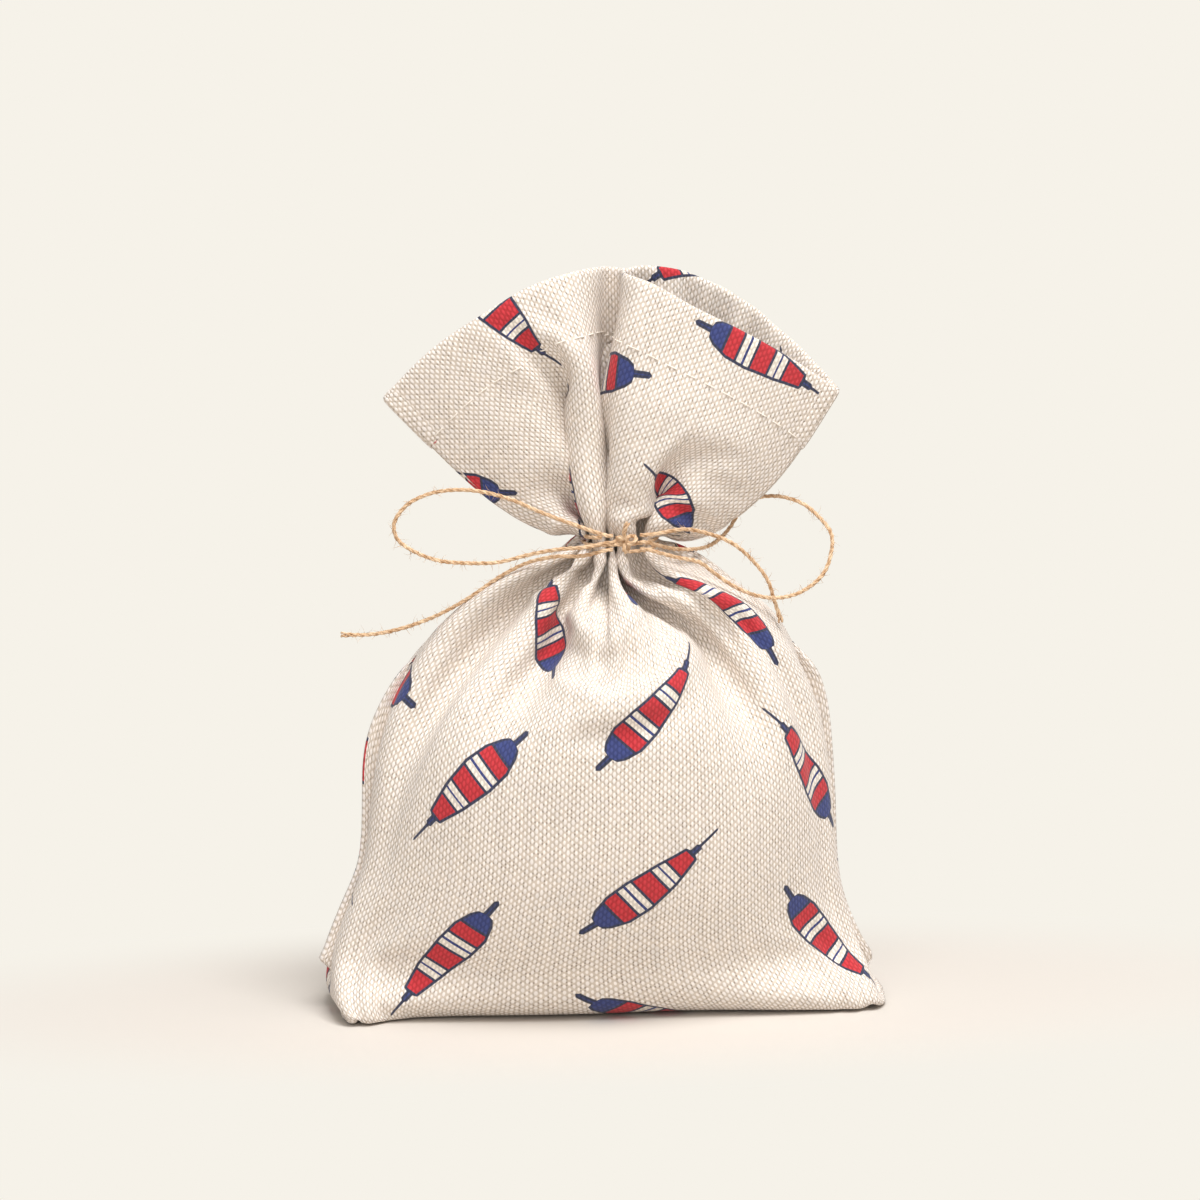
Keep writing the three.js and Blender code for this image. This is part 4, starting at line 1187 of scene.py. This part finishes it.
def linen_canvas(name, printed):
    """Unbleached linen and cotton canvas in a coarse plain weave: the pale warp stands up in staggered ovals
    over a thin taupe weft, with darker specks of painted shade where threads leave a gap, slubs along both,
    and patches. It is matt and a little furry, and one side is screen printed."""
    material, tree, shader = new_material(name, "#e6d8c8", 0.9)
    cloth = node(tree, "ShaderNodeUVMap", uv_map="cloth")
    wander = node(tree, "ShaderNodeTexNoise", {"Vector": cloth, "Scale": WANDERS_PER_METRE, "Detail": 5.0})
    middle = (0.5, 0.5, 0.5)
    off = node(tree, "ShaderNodeVectorMath", (wander.outputs["Color"], middle), operation="SUBTRACT")
    reach = (THREAD_WANDER * MM,) * 3
    drawn = node(tree, "ShaderNodeVectorMath", (off, reach, cloth), operation="MULTIPLY_ADD")
    per_metre = (1 / (THREAD_PITCH[0] * MM), 1 / (THREAD_PITCH[1] * MM), 0)
    thread = node(tree, "ShaderNodeVectorMath", (drawn, per_metre), operation="MULTIPLY")
    # half the sum and half the difference of the thread numbers are both whole in the middle of an oval
    half_sum = node(tree, "ShaderNodeVectorMath", (thread, (0.5, 0.5, 0)), operation="DOT_PRODUCT")
    half_gap = node(tree, "ShaderNodeVectorMath", (thread, (0.5, -0.5, 0)), operation="DOT_PRODUCT")
    place = node(tree, "ShaderNodeCombineXYZ", (half_sum.outputs["Value"], half_gap.outputs["Value"]))
    place = node(tree, "ShaderNodeVectorMath", (place, middle), operation="ADD")
    which = node(tree, "ShaderNodeVectorMath", (place,), operation="FLOOR")
    within = node(tree, "ShaderNodeVectorMath", (place,), operation="FRACTION")
    within = node(tree, "ShaderNodeVectorMath", (within, middle), operation="SUBTRACT")
    wide, long = (1 / OVAL_WIDE, 1 / OVAL_WIDE, 0), (1 / OVAL_LONG, -1 / OVAL_LONG, 0)
    across = node(tree, "ShaderNodeVectorMath", (within, wide), operation="DOT_PRODUCT")
    along = node(tree, "ShaderNodeVectorMath", (within, long), operation="DOT_PRODUCT")
    far = node(tree, "ShaderNodeCombineXYZ", (across.outputs["Value"], along.outputs["Value"]))
    square = node(tree, "ShaderNodeVectorMath", (far, far), operation="DOT_PRODUCT").outputs["Value"]
    # one oval is smaller and paler than the next, and threads have slubs along both ways
    chance = node(tree, "ShaderNodeTexWhiteNoise", (which,), noise_dimensions="3D")
    shrink = node(tree, "ShaderNodeMath", (chance, 0.7, 0.75), operation="MULTIPLY_ADD")
    square = node(tree, "ShaderNodeMath", (square, shrink), operation="MULTIPLY")
    left = node(tree, "ShaderNodeMath", (1.0, square), operation="SUBTRACT", use_clamp=True)
    height = node(tree, "ShaderNodeMath", (left,), operation="SQRT")
    warp = node(tree, "ShaderNodeVectorMath", (thread, (SLUB_ACROSS, SLUB_ALONG, 1)), operation="MULTIPLY")
    warp = node(tree, "ShaderNodeTexNoise", {"Vector": warp, "Scale": 1.0, "Detail": 2.0})
    weft = node(tree, "ShaderNodeVectorMath", (thread, (SLUB_ALONG, SLUB_ACROSS, 1)), operation="MULTIPLY")
    weft = node(tree, "ShaderNodeTexNoise", {"Vector": weft, "Scale": 1.0, "Detail": 2.0})
    patch = node(tree, "ShaderNodeTexNoise", {"Vector": cloth, "Scale": PATCHES_PER_METRE, "Detail": 2.0})
    tone = node(tree, "ShaderNodeMath", (chance, CHANCE_TONE, DARKEST_TONE), operation="MULTIPLY_ADD")
    tone = node(tree, "ShaderNodeMath", (warp, WARP_TONE, tone), operation="MULTIPLY_ADD")
    tone = node(tree, "ShaderNodeMath", (weft, WEFT_TONE, tone), operation="MULTIPLY_ADD")
    tone = node(tree, "ShaderNodeMath", (patch, PATCH_TONE, tone), operation="MULTIPLY_ADD")
    # where four threads meet, the weave is open at some places and closed at others, and the open ones get
    # painted shade
    crossing = node(tree, "ShaderNodeVectorMath", (thread,), operation="FRACTION")
    crossing = node(tree, "ShaderNodeVectorMath", (crossing, middle), operation="SUBTRACT")
    crossing = node(tree, "ShaderNodeVectorMath", (crossing, (1 / SPECK_WIDE, 1 / SPECK_LONG, 0)),
                    operation="MULTIPLY")
    off = node(tree, "ShaderNodeVectorMath", (crossing,), operation="LENGTH").outputs["Value"]
    speck = node(tree, "ShaderNodeMath", (1.0, off), operation="SUBTRACT", use_clamp=True)
    corner = node(tree, "ShaderNodeVectorMath", (thread,), operation="FLOOR")
    luck = node(tree, "ShaderNodeTexWhiteNoise", (corner,), noise_dimensions="3D")
    luck = node(tree, "ShaderNodeMapRange", {"Value": luck, "From Min": 0.3, "To Max": 1.1})
    speck = node(tree, "ShaderNodeMath", (speck, luck), operation="MULTIPLY", use_clamp=True)
    weft_colour, gap_colour, oval_colour = linear(WEFT_COLOUR), linear(GAP_COLOUR), linear(OVAL_COLOUR)
    # the specks mix in GAP_COLOUR, painted shade in the holes between threads
    gap = node(tree, "ShaderNodeMix", {"Factor": speck, "A": weft_colour, "B": gap_colour}, data_type="RGBA")
    shown = node(tree, "ShaderNodeMath", (height, 1.15), operation="MULTIPLY", use_clamp=True)
    ground = node(tree, "ShaderNodeMix", {"Factor": shown, "A": gap, "B": oval_colour}, data_type="RGBA")
    ground = node(tree, "ShaderNodeVectorMath", {0: ground, "Scale": tone}, operation="SCALE")
    colour = fishing_floats(tree, cloth, ground, height) if printed else ground
    tree.links.new(colour.outputs[2 if printed else 0], shader.inputs["Base Color"])
    bump = node(tree, "ShaderNodeBump", {"Height": height, "Strength": 0.45, "Distance": 0.2 * MM})
    tree.links.new(bump.outputs[0], shader.inputs["Normal"])
    shader.inputs["Sheen Weight"].default_value = 0.12
    shader.inputs["Sheen Roughness"].default_value = 0.6
    return material


def fishing_floats(tree, cloth, ground, height):
    """The screen print: one fishing float in each cell of a half-drop layout, turned by its own angle. A
    curve gives the float's half width along its axis, and a ramp its bands."""
    cell = node(tree, "ShaderNodeVectorMath", (cloth, (1 / (CELL_SIZE * MM),) * 3, PRINT_SHIFT),
                operation="MULTIPLY_ADD")
    column = node(tree, "ShaderNodeMath", (node(tree, "ShaderNodeSeparateXYZ", (cell,)),), operation="FLOOR")
    odd = node(tree, "ShaderNodeMath", (column, 2.0), operation="FLOORED_MODULO")
    drop = node(tree, "ShaderNodeCombineXYZ", {"Y": odd})
    cell = node(tree, "ShaderNodeVectorMath", (drop, (0.5, 0.5, 0.5), cell), operation="MULTIPLY_ADD")
    which = node(tree, "ShaderNodeVectorMath", (cell,), operation="FLOOR")
    chance = node(tree, "ShaderNodeTexWhiteNoise", (which,), noise_dimensions="3D")
    angle = node(tree, "ShaderNodeMath", (chance, 2 * math.pi), operation="MULTIPLY")
    within = node(tree, "ShaderNodeVectorMath", (cell,), operation="FRACTION")
    turned = node(tree, "ShaderNodeVectorRotate", {"Vector": within, "Center": (0.5, 0.5, 0), "Angle": angle},
                  rotation_type="Z_AXIS")
    centred = node(tree, "ShaderNodeVectorMath", (turned, (0.5, 0.5, 0)), operation="SUBTRACT")
    axes = node(tree, "ShaderNodeSeparateXYZ", (centred,))
    share = node(tree, "ShaderNodeMath", (axes.outputs[0], CELL_SIZE / FLOAT_LENGTH, 0.5),
                 operation="MULTIPLY_ADD")
    aside = node(tree, "ShaderNodeMath", (axes.outputs[1],), operation="ABSOLUTE")
    width = node(tree, "ShaderNodeFloatCurve", {"Value": share})
    points = width.mapping.curves[0].points
    points[0].location, points[1].location = FLOAT_OUTLINE[0], FLOAT_OUTLINE[-1]
    for corner in FLOAT_OUTLINE[1:-1]:
        points.new(*corner)
    for point in points:
        point.handle_type = "VECTOR"
    width.mapping.update()
    half = node(tree, "ShaderNodeMath", (width, FLOAT_HALF_WIDTH), operation="MULTIPLY")
    inside = node(tree, "ShaderNodeMath", (aside, -CELL_SIZE, half), operation="MULTIPLY_ADD")
    inked = node(tree, "ShaderNodeMath", (inside, INK_SHARPNESS), operation="MULTIPLY", use_clamp=True)
    filled = node(tree, "ShaderNodeMath", (inside, INK_SHARPNESS, -INK_SHARPNESS * OUTLINE_WIDTH),
                  operation="MULTIPLY_ADD", use_clamp=True)
    bands = node(tree, "ShaderNodeValToRGB", (share,))
    bands.color_ramp.interpolation = "CONSTANT"
    inks = {name: linear(hex_colour) for name, hex_colour in INKS.items()}
    elements = bands.color_ramp.elements
    while len(elements) < len(FLOAT_BANDS):
        elements.new(0.5)
    for element, (place, ink) in zip(elements, FLOAT_BANDS):
        element.position, element.color = place, inks[ink]
    ink = node(tree, "ShaderNodeMix", {"Factor": filled, "A": inks["dark"], "B": bands}, data_type="RGBA")
    # the ink fills the weave, and the threads still show through it as faint painted shade and highlight: the
    # ink is darker where the weave lies low and lighter on the raised threads
    painted_relief_shading = node(tree, "ShaderNodeMath", (height, INK_PAINTED_RELIEF, INK_SHADE), operation="MULTIPLY_ADD")
    ink = node(tree, "ShaderNodeVectorMath", {0: ink, "Scale": painted_relief_shading}, operation="SCALE")
    cover = node(tree, "ShaderNodeMath", (inked, INK_COVER), operation="MULTIPLY")
    return node(tree, "ShaderNodeMix", {"Factor": cover, "A": ground, "B": ink}, data_type="RGBA")


def jute_twine():
    """Jute twine, three plies laid together, unpolished: golden tan, with paler and darker fibres in it."""
    material, tree, shader = new_material("jute_twine", "#cda878", 0.75)
    place = node(tree, "ShaderNodeTexCoord").outputs["Object"]
    fibre = node(tree, "ShaderNodeTexNoise", {"Vector": place, "Scale": JUTE_FIBRES_PER_METRE, "Detail": 3.0})
    spread = node(tree, "ShaderNodeMapRange", {"Value": fibre, "From Min": 0.3, "From Max": 0.7})
    colour = node(tree, "ShaderNodeMix", {"Factor": spread, "A": linear("#b3885f"), "B": linear("#ecd0ae")},
                  data_type="RGBA")
    tree.links.new(colour.outputs[2], shader.inputs["Base Color"])
    bump = node(tree, "ShaderNodeBump", {"Height": fibre, "Strength": 0.4, "Distance": 0.2 * MM})
    tree.links.new(bump.outputs[0], shader.inputs["Normal"])
    shader.inputs["Sheen Weight"].default_value = 0.1
    return material


def cotton_thread():
    """Mercerised cotton sewing thread, twisted: off-white with a soft gloss."""
    material, tree, shader = new_material("cotton_thread", "#efe7dc", 0.6)
    place = node(tree, "ShaderNodeTexCoord").outputs["Object"]
    twist = node(tree, "ShaderNodeTexNoise", {"Vector": place, "Scale": TWISTS_PER_METRE, "Detail": 1.0})
    bump = node(tree, "ShaderNodeBump", {"Height": twist, "Strength": 0.3, "Distance": 0.1 * MM})
    tree.links.new(bump.outputs[0], shader.inputs["Normal"])
    return material


def cotton_wadding():
    """Cotton wadding, carded: white and matt, with a soft uneven surface."""
    material, tree, shader = new_material("cotton_wadding", "#f2eee6", 0.95)
    place = node(tree, "ShaderNodeTexCoord").outputs["Object"]
    tuft = node(tree, "ShaderNodeTexNoise", {"Vector": place, "Scale": TUFTS_PER_METRE, "Detail": 5.0})
    bump = node(tree, "ShaderNodeBump", {"Height": tuft, "Strength": 0.6, "Distance": 1.0 * MM})
    tree.links.new(bump.outputs[0], shader.inputs["Normal"])
    return material


def seen_by_camera(tree):
    """1 for a ray that comes straight from the camera or by way of gloss or glass, otherwise 0."""
    rays = node(tree, "ShaderNodeLightPath").outputs
    seen = node(tree, "ShaderNodeMath", (rays["Is Camera Ray"], rays["Is Glossy Ray"]), operation="MAXIMUM")
    return node(tree, "ShaderNodeMath", (seen, rays["Is Transmission Ray"]), operation="MAXIMUM")


def make_stage():
    """A pale paper sweep: the floor keeps the pouch's shadow near it, and passes with distance into the plain
    backdrop colour, which the world shows to the camera as well."""
    backdrop = linear(BACKDROP)
    corners = [(x * FLOOR_HALF, y * FLOOR_HALF, 0) for x, y in ((-1, -1), (1, -1), (1, 1), (-1, 1))]
    floor = new_mesh("paper_floor", corners, [(0, 1, 2, 3)])
    material, tree, shader = new_material("paper", FLOOR_COLOUR, 0.9)
    place = node(tree, "ShaderNodeTexCoord").outputs["Object"]
    place = node(tree, "ShaderNodeVectorMath", (place, SHADOW_SCALE), operation="MULTIPLY")
    far = node(tree, "ShaderNodeVectorMath", (place,), operation="LENGTH").outputs["Value"]
    near_end, far_end = SHADOW_REACH
    fade = node(tree, "ShaderNodeMapRange", {"Value": far, "From Min": near_end, "From Max": far_end},
                interpolation_type="SMOOTHSTEP")
    share = node(tree, "ShaderNodeMath", (fade, seen_by_camera(tree)), operation="MULTIPLY")
    glow = node(tree, "ShaderNodeEmission", {"Color": backdrop, "Strength": 1.0})
    mix = node(tree, "ShaderNodeMixShader", (share, shader, glow))
    tree.links.new(mix.outputs[0], tree.nodes["Material Output"].inputs["Surface"])
    floor.data.materials.append(material)
    world = bpy.data.worlds.new("studio")
    bpy.context.scene.world = world
    world.use_nodes = True
    tree = world.node_tree
    light = tree.nodes["Background"]
    light.inputs["Color"].default_value = linear(STUDIO_COLOUR)
    light.inputs["Strength"].default_value = STUDIO_STRENGTH
    shown = node(tree, "ShaderNodeBackground", {"Color": backdrop, "Strength": 1.0})
    mix = node(tree, "ShaderNodeMixShader", (seen_by_camera(tree), light, shown))
    tree.links.new(mix.outputs[0], tree.nodes["World Output"].inputs["Surface"])


def soft_box(name, place, size, power):
    """A square area lamp aimed at the middle of the pouch; place and size in metres."""
    data = bpy.data.lights.new(name, "AREA")
    data.size = size
    data.energy = power
    lamp = bpy.data.objects.new(name, data)
    bpy.context.scene.collection.objects.link(lamp)
    lamp.location = place
    lamp.rotation_euler = (Vector(LIGHT_AIM) - Vector(place)).to_track_quat("-Z", "Y").to_euler()


bpy.context.scene.view_settings.view_transform = "Standard"
make_camera()
twine = jute_twine()
paths = make_bow_strands(twine)
s, v, cloth = simulated_cloth()
linen = (linen_canvas("linen_canvas_printed", True), linen_canvas("linen_canvas_reverse", False))
sewn = make_cloth(s, v, cloth, linen)
make_stitches(s, cloth, cotton_thread())
make_filling(sewn, cotton_wadding())
make_wrap(cloth, twine)
make_knot(twine)
make_fibres(paths, twine)
make_stage()
for name, (place, size, power) in SOFT_BOXES.items():
    soft_box(name, place, size, power)
